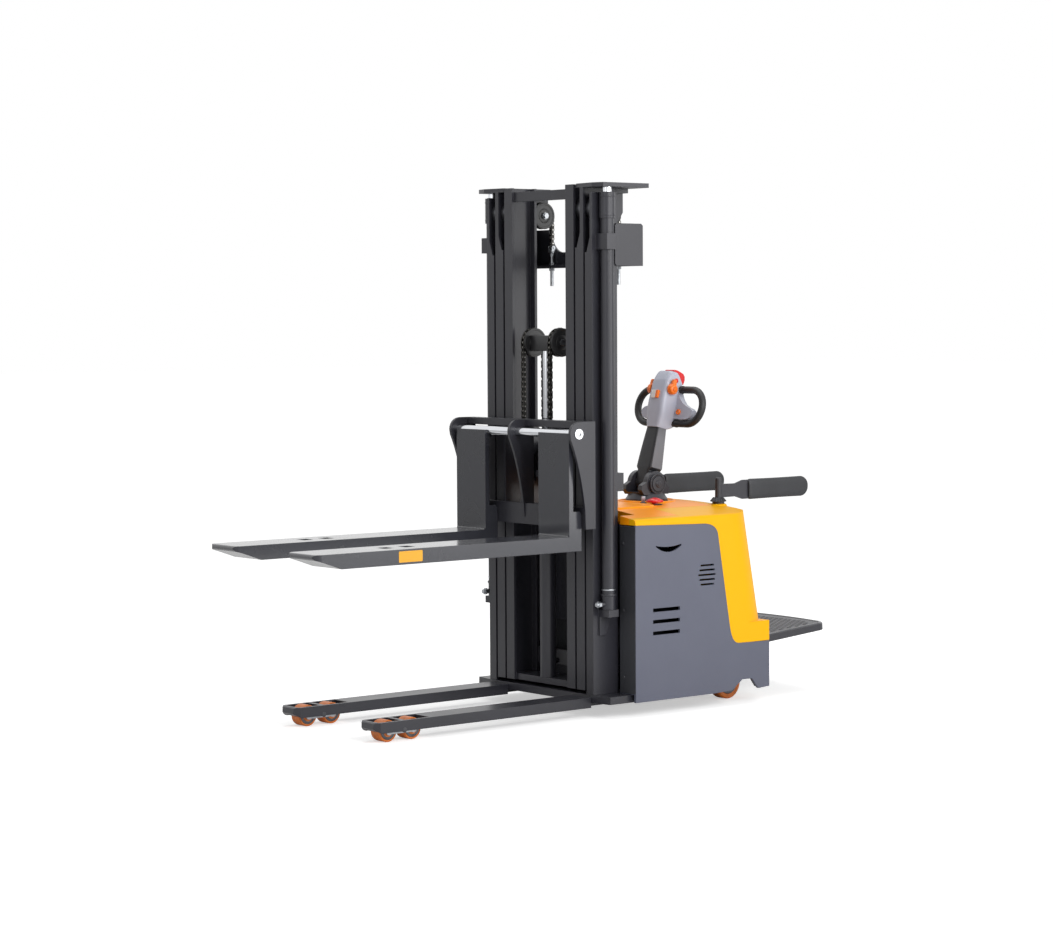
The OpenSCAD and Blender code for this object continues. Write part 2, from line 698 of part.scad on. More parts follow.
module carriage_frame() place() color("dimgray") {
    bar_in = carriage_half - side_plate;
    anchor_y = head_y - chain_r;
    difference() {
        union() {
            both_sides() yz_plate(bar_in, carriage_half) polygon(carriage_profile(carriage_foot));
            yz_plate(-5, 5) polygon(carriage_profile(carriage_foot + 30));
        }
        translate([0, shaft_y, shaft_z]) x_rod(-carriage_half - 1, carriage_half + 1, shaft_d / 2 + fit);
    }
    // Top bar and lower cross plate
    block([-bar_in - weld, 62, carriage_top - 27], [bar_in + weld, 107, carriage_top]);
    block([-bar_in - weld, 62, carriage_foot + 2], [bar_in + weld, cross_back, carriage_foot + 82]);
    both_sides() {
        // Upright that carries the rollers, behind the cross plates
        yz_plate(roller_plate_x - roller_plate / 2, roller_plate_x + roller_plate / 2)
            polygon([[cross_back - weld, roller_plate_foot], [236, roller_plate_foot], [256, 775], [256, 850], [200, 905],
                [200, 960], [256, 1010], [256, 1080], [236, roller_plate_top], [cross_back - weld, roller_plate_top]]);
        for (z = [upper_roller_z, lower_roller_z])
            axle_stub(roller_plate_x, inner_web_x - channel_wall - 2, roller_y, z, axle_r);
        anchor_bolt(head_x, anchor_y, carriage_anchor_z, carriage_anchor_z - 40, carriage_anchor_z - 88, 22);
    }
    // Cross bar that the lifting chains pull on
    block([-roller_plate_x, anchor_y - 11, carriage_anchor_z - 62], [roller_plate_x, anchor_y + 11, carriage_anchor_z - 40]);
    block([-roller_plate_x, cross_back - weld, carriage_anchor_z - 62], [roller_plate_x, anchor_y - 11 + weld, carriage_anchor_z - 50]);
}

module fork_shaft() place() color("silver") translate([0, shaft_y, shaft_z])
    x_rod(-carriage_half - 1, carriage_half + 1, shaft_d / 2);

module carriage_roller(z) {
    translate([0, roller_y, z]) difference() {
        x0 = inner_web_x - channel_wall - carriage_roller_w - 3;
        x_rod(x0, x0 + carriage_roller_w, mast_roller_r);
        x_rod(x0 - 1, x0 + carriage_roller_w + 1, axle_r + fit);
    }
}

module carriage_upper_rollers() place() color("silver") both_sides() carriage_roller(upper_roller_z);
module carriage_lower_rollers() place() color("silver") both_sides() carriage_roller(lower_roller_z);

// One fork: an inverted channel that drops over its leg, a rounded tip, heel gussets and the shank
module fork() {
    half = fork_width / 2;
    corner = 28;
    bottom = fork_z - fork_depth;
    taper = 110;
    difference() {
        intersection() {
            yz_plate(-half, half)
                polygon(concat([[0, bottom], [-fork_length + taper, bottom]],
                    bow([-fork_length + taper, bottom], [-fork_length + 40, fork_z - 30], [-fork_length + 6, fork_z - 20]),
                    arc([-fork_length + 10, fork_z - 10], 10, 230, 90, 6), [[0, fork_z]]));
            translate([0, 0, bottom]) linear_extrude(fork_depth) {
                translate([-half, -fork_length + corner]) square([fork_width, fork_length - corner]);
                for (x = [-half + corner, half - corner])
                    translate([x, -fork_length + corner]) circle(r = corner);
                translate([-half + corner, -fork_length]) square([fork_width - 2 * corner, corner]);
            }
        }
        // Hollow underside
        block([-half + fork_wall, -fork_length + taper + 20, bottom - 1], [half - fork_wall, 1, fork_z - fork_wall]);
        // Slots over the load rollers
        for (y = [bogie_y - 41, bogie_y + 54]) block([-25, y - 22, fork_z - 20], [25, y + 22, fork_z + 1]);
    }
    // Heel gussets outside the leg
    for (s = [0, 1]) mirror([s, 0, 0]) yz_plate(half - fork_wall, half)
        polygon([[0, bottom], [60, bottom], [60, fork_z + 82], [52, fork_z + 94], [shank_thick - 1, fork_z + 94], [0, fork_z]]);
    // Shank with its saddle on the shaft
    difference() {
        union() {
            block([-half, 0, fork_z - 10], [half, shank_thick, shank_top]);
            both_sides() yz_plate(half - 34, half - 8) intersection() {
                translate([shaft_y, shaft_z]) circle(r = shaft_d / 2 + 12);
                translate([0, shaft_z - 60]) square([60, 60]);
            }
        }
        translate([0, shaft_y, shaft_z]) x_rod(-half - 1, half + 1, shaft_d / 2 + fit);
        block([-half - 1, shaft_y - shaft_d / 2 - 0.02, shaft_z], [half + 1, 80, shank_top + 1]);
    }
}

module left_fork() place() color("dimgray") translate([fork_x, 0, 0]) fork();
module right_fork() place() color("dimgray") translate([-fork_x, 0, 0]) fork();

// Side outline of a panel
function panel_profile(front, drop) = concat(
    [[front, chassis_bottom], [front, panel_top - drop]],
    bow([600, 720 - drop], [668, 720 - drop], [681, 680], 8),
    [[743, 320]],
    bow([743, 320], [754, 246], [790, 244], 6),
    [[body_back, 241], [body_back, 61], [897, 57], [863, 99], [811, 99], [756, 61], [661, 57]]);

module side_panel() {
    difference() {
        union() {
            yz_plate(panel_in, body_half) polygon(panel_profile(panel_front, 0));
            // Front edge folded inwards beside the mast
            block([mast_bay_half, panel_front, chassis_bottom + 30], [panel_in + 1, panel_front + panel_wall, 726]);
            block([mast_bay_half, panel_front, chassis_bottom + 30], [mast_bay_half + 4, bulkhead_y - seat, 726]);
        }
        // Louvre slots low at the front
        for (z = [315, 359, 403]) slot_row(344, 482, z, 14);
        // Five short slots higher up
        for (i = [0:4]) slot_row(578 + 6 * abs(i - 2), 668 - 4 * abs(i - 2), 485 + 18.5 * i, 7);
        // Hand recess shaped as a smile
        yz_plate(panel_in - 1, body_half + 1)
            polygon(concat(bow([360, 643], [425, 600], [490, 643]), bow([490, 650], [425, 634], [360, 648])));
    }
}

module slot_row(y0, y1, z, h) {
    yz_plate(panel_in - 1, body_half + 1) {
        translate([y0, z - h / 2]) square([y1 - y0, h]);
    }
}

module left_side_panel() place() color("slategray") side_panel();
module right_side_panel() place() color("slategray") mirror([1, 0, 0]) side_panel();

// Crowned cross-section of the hood and the rear cover, in X and Z, drawn in by the given inset
function crown_section(inset, foot) =
    let (w = body_half - inset, top = hood_top - 30 - inset, shoulder = hood_top - 51)
    concat([[-w, foot], [w, foot]], arc([body_half - 18, shoulder], 18 - inset, 0, 76, 6),
        bow([body_half - 40, top], [0, top + 60], [40 - body_half, top], 14),
        arc([18 - body_half, shoulder], 18 - inset, 104, 180, 6));

// Plan of the orange lid: the front of the body and a tongue back to the crest, made larger by grow
module lid_plan(grow) {
    translate([-lid_half - grow, panel_front - 1])
        square([2 * (lid_half + grow), hood_back - panel_front + 1 + grow]);
    translate([-tongue_half - grow, panel_front])
        square([2 * (tongue_half + grow), crest_y - panel_front + grow]);
}

module hood() place() color("orange") {
    skirt = panel_top + seat;
    bay_back = bulkhead_y + 12;
    bay_in = mast_bay_half + cover_wall;
    difference() {
        union() {
            difference() {
                xz_plate(panel_front, crest_y) polygon(crown_section(0, skirt));
                xz_plate(panel_front - 1, crest_y + 1) polygon(crown_section(cover_wall, skirt - 1));
            }
            // Front wall, folded round the mast bay
            intersection() {
                xz_plate(panel_front, hood_back) polygon(crown_section(0, skirt));
                union() {
                    block([-body_half, panel_front, skirt], [body_half, panel_front + cover_wall, hood_top + 1]);
                    block([-bay_in, panel_front, skirt], [bay_in, bay_back + cover_wall, hood_top + 1]);
                }
            }
        }
        block([-mast_bay_half, panel_front - 1, skirt - 2], [mast_bay_half, bay_back, hood_top + 2]);
        // All outside the lid's plan
        translate([0, 0, skirt - 1]) linear_extrude(hood_top - skirt + 3) difference() {
            translate([-body_half - 1, panel_front - 1]) square([2 * body_half + 2, crest_y - panel_front + 3]);
            lid_plan(0);
        }
        // Holes of the tiller, the emergency stop and the key
        translate([0, steer_y, 600]) cylinder(h = 300, r = base_r + 3);
        translate([stop_x, stop_y, 700]) cylinder(h = 120, r = 12 + fit);
        translate([key_x, key_y, 700]) cylinder(h = 120, r = 6 + fit);
    }
}

// Side view of the rear cover, drawn in by the given inset
function cover_profile(inset, foot) =
    let (back = body_back - inset)
    concat([[hood_back + seat - inset, foot], [hood_back + seat - inset, 820], [crest_y, 820], [crest_y, hood_top + 2 - inset]],
        bow([crest_y, hood_top + 2 - inset], [868 - inset, hood_top], [877 - inset, 735], 8),
        bow([887 - inset, 690], [955 - inset, 560], [back, 322], 10), [[back, foot]]);

module rear_cover() place() color("gold") {
    low = 243;
    skirt = panel_top + seat;
    difference() {
        union() {
            difference() {
                cover_mass(0, low);
                cover_mass(cover_wall, low - 1);
            }
            // Bands that run forward beside the lid, closed at the front
            difference() {
                xz_plate(panel_front, hood_back + 10) polygon(crown_section(0, skirt - 16));
                xz_plate(panel_front + cover_wall, hood_back + 11) polygon(crown_section(cover_wall, skirt - 17));
                block([-panel_in, panel_front - 1, skirt - 17], [panel_in, panel_front + cover_wall + 1, skirt]);
            }
            // Bosses of the arm posts
            both_sides() translate([arm_x, arm_y, 748]) cylinder(h = 30, r = post_d / 2 + 13);
        }
        // The side panels stand in these recesses
        both_sides() yz_plate(panel_in - seat, body_half + 1) polygon(panel_profile(panel_front, -seat));
        both_sides() translate([arm_x, arm_y, 600]) cylinder(h = 240, r = post_d / 2 + fit);
        // The lid lies in this cut-away
        translate([0, 0, 700]) linear_extrude(130) lid_plan(seat);
        // Notches over the platform's hinges
        both_sides() block([platform_half - 24, body_back - 30, low - 1], [platform_half + 1, body_back + 3, 254]);
    }
}

// Solid inside the crown, the side view and the leaning round corners
module cover_mass(inset, foot) {
    lean_angle = atan(70 / 368);
    corner = 147;
    reach = 25;
    intersection() {
        xz_plate(hood_back + seat - inset, body_back + 1) polygon(crown_section(inset, foot));
        yz_plate(-body_half, body_half) polygon(cover_profile(inset, foot));
        union() {
            translate([0, body_back, 322]) rotate([lean_angle, 0, 0]) translate([0, 0, -150]) linear_extrude(900) {
                translate([inset - body_half, -900]) square([2 * (body_half - inset), 900 + reach - corner]);
                translate([corner - body_half, -900]) square([2 * (body_half - corner), 900 + reach - inset]);
                for (x = [corner - body_half, body_half - corner])
                    translate([x, reach - corner]) circle(r = corner - inset);
            }
            block([-body_half + inset, 600, foot - 1], [body_half - inset, body_back - inset, 322 - inset]);
        }
    }
}

module battery() place() color("darkslategray") {
    block([-300, bulkhead_y + 18, chassis_bottom + 10], [300, 535, 640]);
    for (x = [-180, 180]) translate([x, 430, 640]) cylinder(h = 18, r = 10);
}

module hydraulic_unit() place() color("darkslategray") {
    // Oil tank, pump and motor in line, standing on the deck
    block([150, 585, deck_z], [215, 790, 430]);
    translate([182, 690, 430]) cylinder(h = 150, r = 45);
    translate([182, 690, 580]) cylinder(h = 30, r = 30);
}

module drive_unit() place() color("darkslategray") translate([0, steer_y, 0]) {
    axle_z = drive_wheel_d / 2;
    side = drive_wheel_w / 2;
    // Gearbox leg beside the wheel with its axle
    yz_plate(side + 3, side + 27) {
        translate([0, axle_z]) circle(r = 46);
        translate([-46, axle_z]) square([92, deck_z - 20 - axle_z]);
    }
    translate([0, 0, axle_z]) x_rod(-side, side + 4, 14);
    translate([0, 0, deck_z - 20]) cylinder(h = 8 - seat, r = deck_bore_r + 14);
    translate([0, 0, deck_z - 20]) cylinder(h = 32, r = deck_bore_r);
    // Traction motor and brake above the deck
    translate([0, 0, deck_z + 12]) cylinder(h = 190, r = 62);
    translate([0, 0, deck_z + 202]) cylinder(h = 40, r = 50);
}

module drive_wheel() place() color("chocolate") translate([0, steer_y, drive_wheel_d / 2])
    rotate([0, 90, 0]) rotate_extrude() {
        w = drive_wheel_w / 2;
        r = drive_wheel_d / 2;
        polygon([[14 + fit, -w], [r - 8, -w], [r, -w + 6], [r, w - 6], [r - 8, w], [14 + fit, w]]);
    }

module tiller_base() place() color("dimgray") {
    translate([0, steer_y, 0]) {
        // Steering tube down to the drive unit
        translate([0, 0, deck_z + 242]) cylinder(h = 786 - deck_z - 242, r = 30);
        difference() {
            union() {
                translate([0, 0, 770]) cylinder(h = 24, r = base_r);
                translate([0, 0, 794]) cylinder(h = 26, r1 = base_r, r2 = 66, $fn = 64);
                // Housing that rises round the tilt axis
                yz_plate(-58, 58) polygon(concat([[-64, 812], [66, 812]], [[70, 840]],
                    arc([0, tilt_z], 51, 10, 170, 12), [[-74, 850], [-78, 832]]));
            }
            // Slot in which the column tilts
            block([-36, -120, 822], [36, 120, 960]);
            // Room for the column when it is pulled down
            block([-48, 44, tilt_z - 18], [48, 120, 960]);
            translate([0, 0, tilt_z]) x_rod(-90, 90, 12 + fit);
        }
        // Ribbed discs over the pivot
        for (s = [0, 1]) mirror([s, 0, 0]) translate([0, 0, tilt_z]) difference() {
            union() {
                x_rod(58, 68, 40);
                x_rod(68, 72, 30);
            }
            x_rod(50, 66, 12 + fit);
        }
    }
}

// Everything on the tilting tiller is drawn upright at the tilt axis and leaned back here
module lean() {
    place() translate([0, steer_y, tilt_z]) rotate([-tiller_lean, 0, 0]) children();
}

module tiller_column() lean() color("dimgray") {
    // Pivot boss and pin
    x_rod(-35, 35, 30);
    x_rod(-65, 65, 12);
    // Tapered post
    intersection() {
        yz_plate(-60, 60) polygon([[-31, 0], [31, 0], [33, 60], [24, head_foot + 8], [-22, head_foot + 8], [-33, 60]]);
        xz_plate(-60, 60) polygon([[-35, 0], [-35, 52], [-47, 60], [-35, head_foot + 8], [35, head_foot + 8], [47, 60], [35, 52], [35, 0]]);
    }
}

// Front outline of the head's core
function head_front() = [[-38, head_foot], [38, head_foot], [50, head_foot + 50], [50, head_foot + 176], [44, head_top - 14],
    [34, head_top], [-34, head_top], [-44, head_top - 14], [-50, head_foot + 176], [-50, head_foot + 50]];

module tiller_head() lean() color("lightsteelblue") difference() {
    union() {
        intersection() {
            xz_plate(-60, 80) polygon(head_front());
            yz_plate(-60, 60) polygon([[-30, head_foot], [30, head_foot], [54, head_foot + 8], [66, head_foot + 18],
                [66, head_foot + 176], [60, head_top - 30], [31, head_top], [-12, head_top], [-30, head_top - 44],
                [-36, head_foot + 100]]);
        }
        // Wings between the head and the grips
        both_sides() xz_plate(37, 63) polygon(concat([[40, head_foot + 47], [128, head_foot + 47]],
            bow([128, head_foot + 47], [148, head_foot + 56], [150, head_foot + 82], 4),
            bow([140, head_foot + 90], [70, head_foot + 112], [49, head_foot + 152], 6)));
    }
    // Socket over the column, bores for the throttle shaft and the buttons
    intersection() {
        yz_plate(-60, 60) polygon([[-31.3, 0], [31.3, 0], [33.3, 60], [24.3, head_foot + 8.3], [-22.3, head_foot + 8.3], [-33.3, 60]]);
        xz_plate(-60, 60) polygon([[-47.3, 60], [-35.3, head_foot + 8.3], [35.3, head_foot + 8.3], [47.3, 60]]);
    }
    translate([0, throttle_y, throttle_z()]) x_rod(-80, 80, 8 + fit);
    // Seat of the belly switch
    block([-30.3, 14, head_top - 46], [30.3, 90, head_top + 1]);
    block([-19.3, -80, horn_z() - 16.3], [19.3, -24, horn_z() + 16.3]);
    for (s = [-1, 1]) translate([s * 74, 56, head_foot + 74]) rotate([90, 0, 0]) cylinder(h = 30, r = 11 + seat);
    // Ends of the grips
    grip_pair(grip_d / 2 + seat);
}

function throttle_z() = head_foot + 158;
function horn_z() = head_foot + 131;

// A grip is a D-shaped loop beside the head: two straight arms and a round outer run
module grip_pair(r) {
    top = head_foot + 168;
    low = head_foot + 30;
    bend = (top - low) / 2;
    both_sides() translate([0, grip_y, 0]) {
        translate([0, 0, top]) x_rod(30, grip_half - grip_d / 2 - bend, r);
        translate([0, 0, low]) x_rod(40, grip_half - grip_d / 2 - bend, r);
        translate([grip_half - grip_d / 2 - bend, 0, (top + low) / 2]) rotate([90, 0, 0]) rotate([0, 0, -90])
            rotate_extrude(angle = 180) translate([bend, 0]) circle(r = r);
    }
}

module tiller_grips() lean() color("dimgray") grip_pair(grip_d / 2);

module throttle() lean() color("orange") translate([0, throttle_y, throttle_z()]) {
    x_rod(-78, 78, 8);
    both_sides() {
        x_rod(52, 74, 22);
        // Thumb wing
        yz_plate(56, 70) polygon([[-10, 12], [10, 12], [7, 40], [-7, 40]]);
    }
}

module belly_switch() lean() color("firebrick")
    yz_plate(-30, 30) polygon(concat([[14 + seat, head_top - 46 + button_travel + 2]],
        [[78, head_top - 46 + button_travel + 2]], bow([82, head_top - 30], [74, head_top + 8], [20, head_top + 12], 8),
        [[14 + seat, head_top + 10]]));

module side_button(s) {
    translate([s * 74, 28, head_foot + 74]) rotate([-90, 0, 0]) cylinder(h = 22, r = 11 + seat - fit);
}

module lift_button() lean() color("orange") side_button(1);
module lower_button() lean() color("orange") side_button(-1);
module horn_button() lean() color("orange") block([-19, -44, horn_z() - 16], [19, -30, horn_z() + 16]);

module emergency_stop() place() color("red") translate([stop_x, stop_y, 0]) {
    translate([0, 0, 762]) cylinder(h = 28, r = 12);
    translate([0, 0, 789]) cylinder(h = 11, r = 34);
    translate([0, 0, 800]) cylinder(h = 8, r1 = 34, r2 = 27, $fn = 64);
}

module ignition_key() place() color("silver") translate([key_x, key_y, 0]) {
    translate([0, 0, 766]) cylinder(h = 22, r = 6);
    block([-2, -9, 788], [2, 9, 812]);
}

module castor_fork(side) {
    wheel_y = castor_d / 2 * 0.55;
    translate([side * castor_x, castor_y, 0]) {
        difference() {
            union() {
                translate([0, 0, 164]) cylinder(h = 12 - seat, r = 40);
                translate([0, 0, 164]) cylinder(h = 34, r = 12);
                for (s = [0, 1]) mirror([s, 0, 0])
                    yz_plate(castor_w / 2 + 3, castor_w / 2 + 8)
                        polygon(concat([[-30, 168], [30, 168]], arc([wheel_y, castor_d / 2], 18, 20, -160, 8)));
                block([-castor_w / 2 - 8, -30, 162], [castor_w / 2 + 8, 30, 168]);
            }
        }
        translate([0, wheel_y, castor_d / 2]) x_rod(-castor_w / 2 - 8, castor_w / 2 + 8, 8);
    }
}

module castor_wheel(side) {
    wheel_y = castor_d / 2 * 0.55;
    translate([side * castor_x, castor_y + wheel_y, castor_d / 2]) rotate([0, 90, 0]) rotate_extrude() {
        w = castor_w / 2;
        r = castor_d / 2;
        polygon([[8 + fit, -w - 2], [20, -w - 2], [22, -w + 2], [r - 14, -w + 2], [r - 12, -w], [r - 5, -w], [r, -w + 5],
            [r, w - 5], [r - 5, w], [r - 12, w], [r - 14, w - 2], [22, w - 2], [20, w + 2], [8 + fit, w + 2]]);
    }
}

module left_castor_fork() place() color("silver") castor_fork(1);
module right_castor_fork() place() color("silver") castor_fork(-1);
module left_castor_wheel() place() color("chocolate") castor_wheel(1);
module right_castor_wheel() place() color("chocolate") castor_wheel(-1);

module platform() place() translate([0, hinge_y, hinge_z - 5]) rotate([platform_rise, 0, 0])
    translate([0, -hinge_y, 5 - hinge_z]) color("dimgray") {
        front = body_back + 30;
        low = hinge_z - 26;
        difference() {
            translate([0, 0, low]) linear_extrude(26) platform_outline(0, front);
            translate([0, 0, low - 1]) linear_extrude(21) platform_outline(6, front);
        }
        // Hinge knuckles
        both_sides() difference() {
            yz_plate(platform_half - 11, platform_half - 1) {
                translate([hinge_y, hinge_z - 5]) circle(r = 12);
                translate([hinge_y, hinge_z - 17]) square([30, 17]);
            }
            translate([0, hinge_y, hinge_z - 5]) x_rod(platform_half - 30, platform_half + 1, 6 + fit);
        }
    }

// Plan of the platform: nearly straight sides, round corners and a bowed rear edge
module platform_outline(inset, front) {
    r = 50 - inset;
    w = platform_half - inset;
    back = platform_back - inset;
    right = concat([[w, front + inset]], arc([280, platform_back - 68], r, 8, 72, 8), bow([274, back - 19], [140, back], [0, back], 8));
    polygon(concat(right, [for (i = [len(right) - 2:-1:0]) [-right[i][0], right[i][1]]]));
}

module arm(side) {
    mid = pad_bottom + pad_height / 2;
    translate([side * arm_x, arm_y, 0]) {
        // Post, its clamping knob and the flat bracket
        translate([0, 0, socket_z - 58]) cylinder(h = post_top - socket_z + 58, r = post_d / 2);
        translate([0, 0, collar_z]) cylinder(h = 8, r = 24);
        translate([0, 0, collar_z + 8]) cylinder(h = 16, r1 = 32, r2 = 18, $fn = 64);
        translate([0, -arm_y, 0]) yz_plate(-4, 4)
            polygon([[arm_y, mid - 27], [pad_front - 70, mid - 26], [pad_front - 30, mid - 38], [pad_front + 60, mid - 38],
                [pad_front + 60, mid + 38], [pad_front - 30, mid + 38], [pad_front - 70, mid + 26], [arm_y, mid + 27]]);
    }
}

module left_arm() place() color("dimgray") arm(1);
module right_arm() place() color("dimgray") arm(-1);

module arm_pad(side) translate([side * arm_x, 0, 0]) difference() {
    r = pad_height / 2;
    mid = pad_bottom + r;
    yz_plate(-pad_thick / 2, pad_thick / 2) {
        translate([pad_front, pad_bottom]) square([pad_length - r, pad_height]);
        translate([pad_front + pad_length - r, mid]) circle(r = r);
    }
    block([-4 - seat, pad_front - 1, mid - 38 - seat], [4 + seat, pad_front + 60 + seat, mid + 38 + seat]);
}

module left_arm_pad() place() color("black") arm_pad(1);
module right_arm_pad() place() color("black") arm_pad(-1);

chassis();
straddle_legs();
outer_mast();
side_cylinder_tubes();
mast_chain_anchors();
left_side_panel();
right_side_panel();
hood();
rear_cover();
battery();
hydraulic_unit();
mid_mast();
side_cylinder_rods();
mast_pulleys();
mast_chain_rear();
mast_chain_front();
outer_top_rollers();
mid_lower_rollers();
mid_top_rollers();
inner_lower_rollers();
inner_mast();
free_lift_tube();
free_lift_rod();
crosshead_wheels();
carriage_chain_rear();
carriage_chain_front();
carriage_frame();
fork_shaft();
left_fork();
right_fork();
carriage_upper_rollers();
carriage_lower_rollers();
drive_unit();
tiller_base();
drive_wheel();
tiller_column();
tiller_head();
tiller_grips();
throttle();
belly_switch();
lift_button();
lower_button();
horn_button();
emergency_stop();
ignition_key();
left_castor_fork();
right_castor_fork();
left_castor_wheel();
right_castor_wheel();
left_bogie();
right_bogie();
left_front_load_roller();
left_rear_load_roller();
right_front_load_roller();
right_rear_load_roller();
platform();
left_arm();
right_arm();
left_arm_pad();
right_arm_pad();
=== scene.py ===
"""Looks of the electric stacker: camera, studio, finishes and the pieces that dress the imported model.

Pieces are drawn in millimetres in the frame of the fork's load face: +Z up, forks towards -Y, +X to the
driver's left. Builder turns them into metres and moves them by LOAD_FACE_Y into the row frame.
"""
from __future__ import annotations

import functools
import json
import logging
import math
from dataclasses import dataclass
from enum import Enum

import bmesh
import bpy
import numpy as np
from mathutils import Matrix, Vector

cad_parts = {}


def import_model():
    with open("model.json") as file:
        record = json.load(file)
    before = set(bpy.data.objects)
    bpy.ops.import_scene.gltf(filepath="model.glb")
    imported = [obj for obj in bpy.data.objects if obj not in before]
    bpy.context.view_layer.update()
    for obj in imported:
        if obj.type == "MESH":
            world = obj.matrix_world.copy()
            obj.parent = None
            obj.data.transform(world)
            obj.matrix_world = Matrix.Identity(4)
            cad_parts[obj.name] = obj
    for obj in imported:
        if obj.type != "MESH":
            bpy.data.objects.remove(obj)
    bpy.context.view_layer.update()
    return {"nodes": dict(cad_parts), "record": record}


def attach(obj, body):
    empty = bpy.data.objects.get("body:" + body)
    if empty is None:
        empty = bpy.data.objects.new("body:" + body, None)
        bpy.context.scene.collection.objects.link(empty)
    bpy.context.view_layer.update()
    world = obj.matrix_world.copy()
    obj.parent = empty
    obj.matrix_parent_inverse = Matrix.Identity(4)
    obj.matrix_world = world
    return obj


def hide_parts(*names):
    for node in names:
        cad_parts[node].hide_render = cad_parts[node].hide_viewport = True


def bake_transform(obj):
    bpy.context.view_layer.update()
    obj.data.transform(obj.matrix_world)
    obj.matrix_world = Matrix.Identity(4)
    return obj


LOG = logging.getLogger("stacker")
MM = 0.001
LOAD_FACE_Y = -124.0
MERGE_MM = 0.004
LEAST_RADIUS = 0.02
BRUSHED_STRETCH = (0.04, 1.0, 1.0)
PATCH_NOISE = {"Detail": 4.0, "Roughness": 0.55}
PATCH_SPAN = {"From Min": 0.3, "From Max": 0.7}
DIRT_NOISE = {"Detail": 6.0, "Roughness": 0.7}
DIRT_SPAN = {"From Min": 0.52, "From Max": 0.72, "To Max": 0.55}
FINE_NOISE = {"Detail": 3.0}
BUMP_STRENGTH = 0.6
MIRROR = np.array([-1.0, 1.0, 1.0])
ORIGIN = (0.0, 0.0, 0.0)
WHITE = (1.0, 1.0, 1.0, 1.0)
SIDES = ((1.0, "left"), (-1.0, "right"))
ENDS = (-1.0, 1.0)
LEG_X = 252.0
STEER_Y = 690.0
Point = tuple[float, float, float]


def linear(colour: str) -> tuple[float, float, float, float]:
    """Turns an sRGB hex colour into the linear values that Blender's sockets hold.

    Args:
        colour: Six hex digits after a hash.

    Returns:
        Linear red, green and blue with an alpha of one.
    """
    parts = [int(colour[i:i + 2], 16) / 255.0 for i in (1, 3, 5)]
    low = [c / 12.92 if c <= 0.04045 else ((c + 0.055) / 1.055) ** 2.4 for c in parts]
    return (low[0], low[1], low[2], 1.0)


def add_node(tree: bpy.types.NodeTree, kind: str, values: dict, links: dict | None = None) -> bpy.types.Node:
    """Adds one shader node with its settings and incoming links.

    Args:
        tree: The material's node tree.
        kind: Blender's name for the node type, after "ShaderNode".
        values: Socket defaults by socket name or index, and node settings by attribute name.
        links: Output sockets to join, by the name or index of the input they feed.

    Returns:
        The new node.
    """
    node = tree.nodes.new("ShaderNode" + kind)
    for key, value in values.items():
        if isinstance(key, int) or key in node.inputs:
            node.inputs[key].default_value = value
        else:
            setattr(node, key, value)
    for key, socket in (links or {}).items():
        tree.links.new(socket, node.inputs[key])
    return node


class Grain(Enum):
    """How the surface was made, which decides the shape of its fine relief."""

    PEEL = "powder coat that flowed out in the oven"
    MOULDED = "fine spark texture from the mould"
    BRUSHED = "lines left by grinding along one axis"
    SMOOTH = "polished or glossy, with only faint waves"
    CAST = "coarse pits from a sand mould"


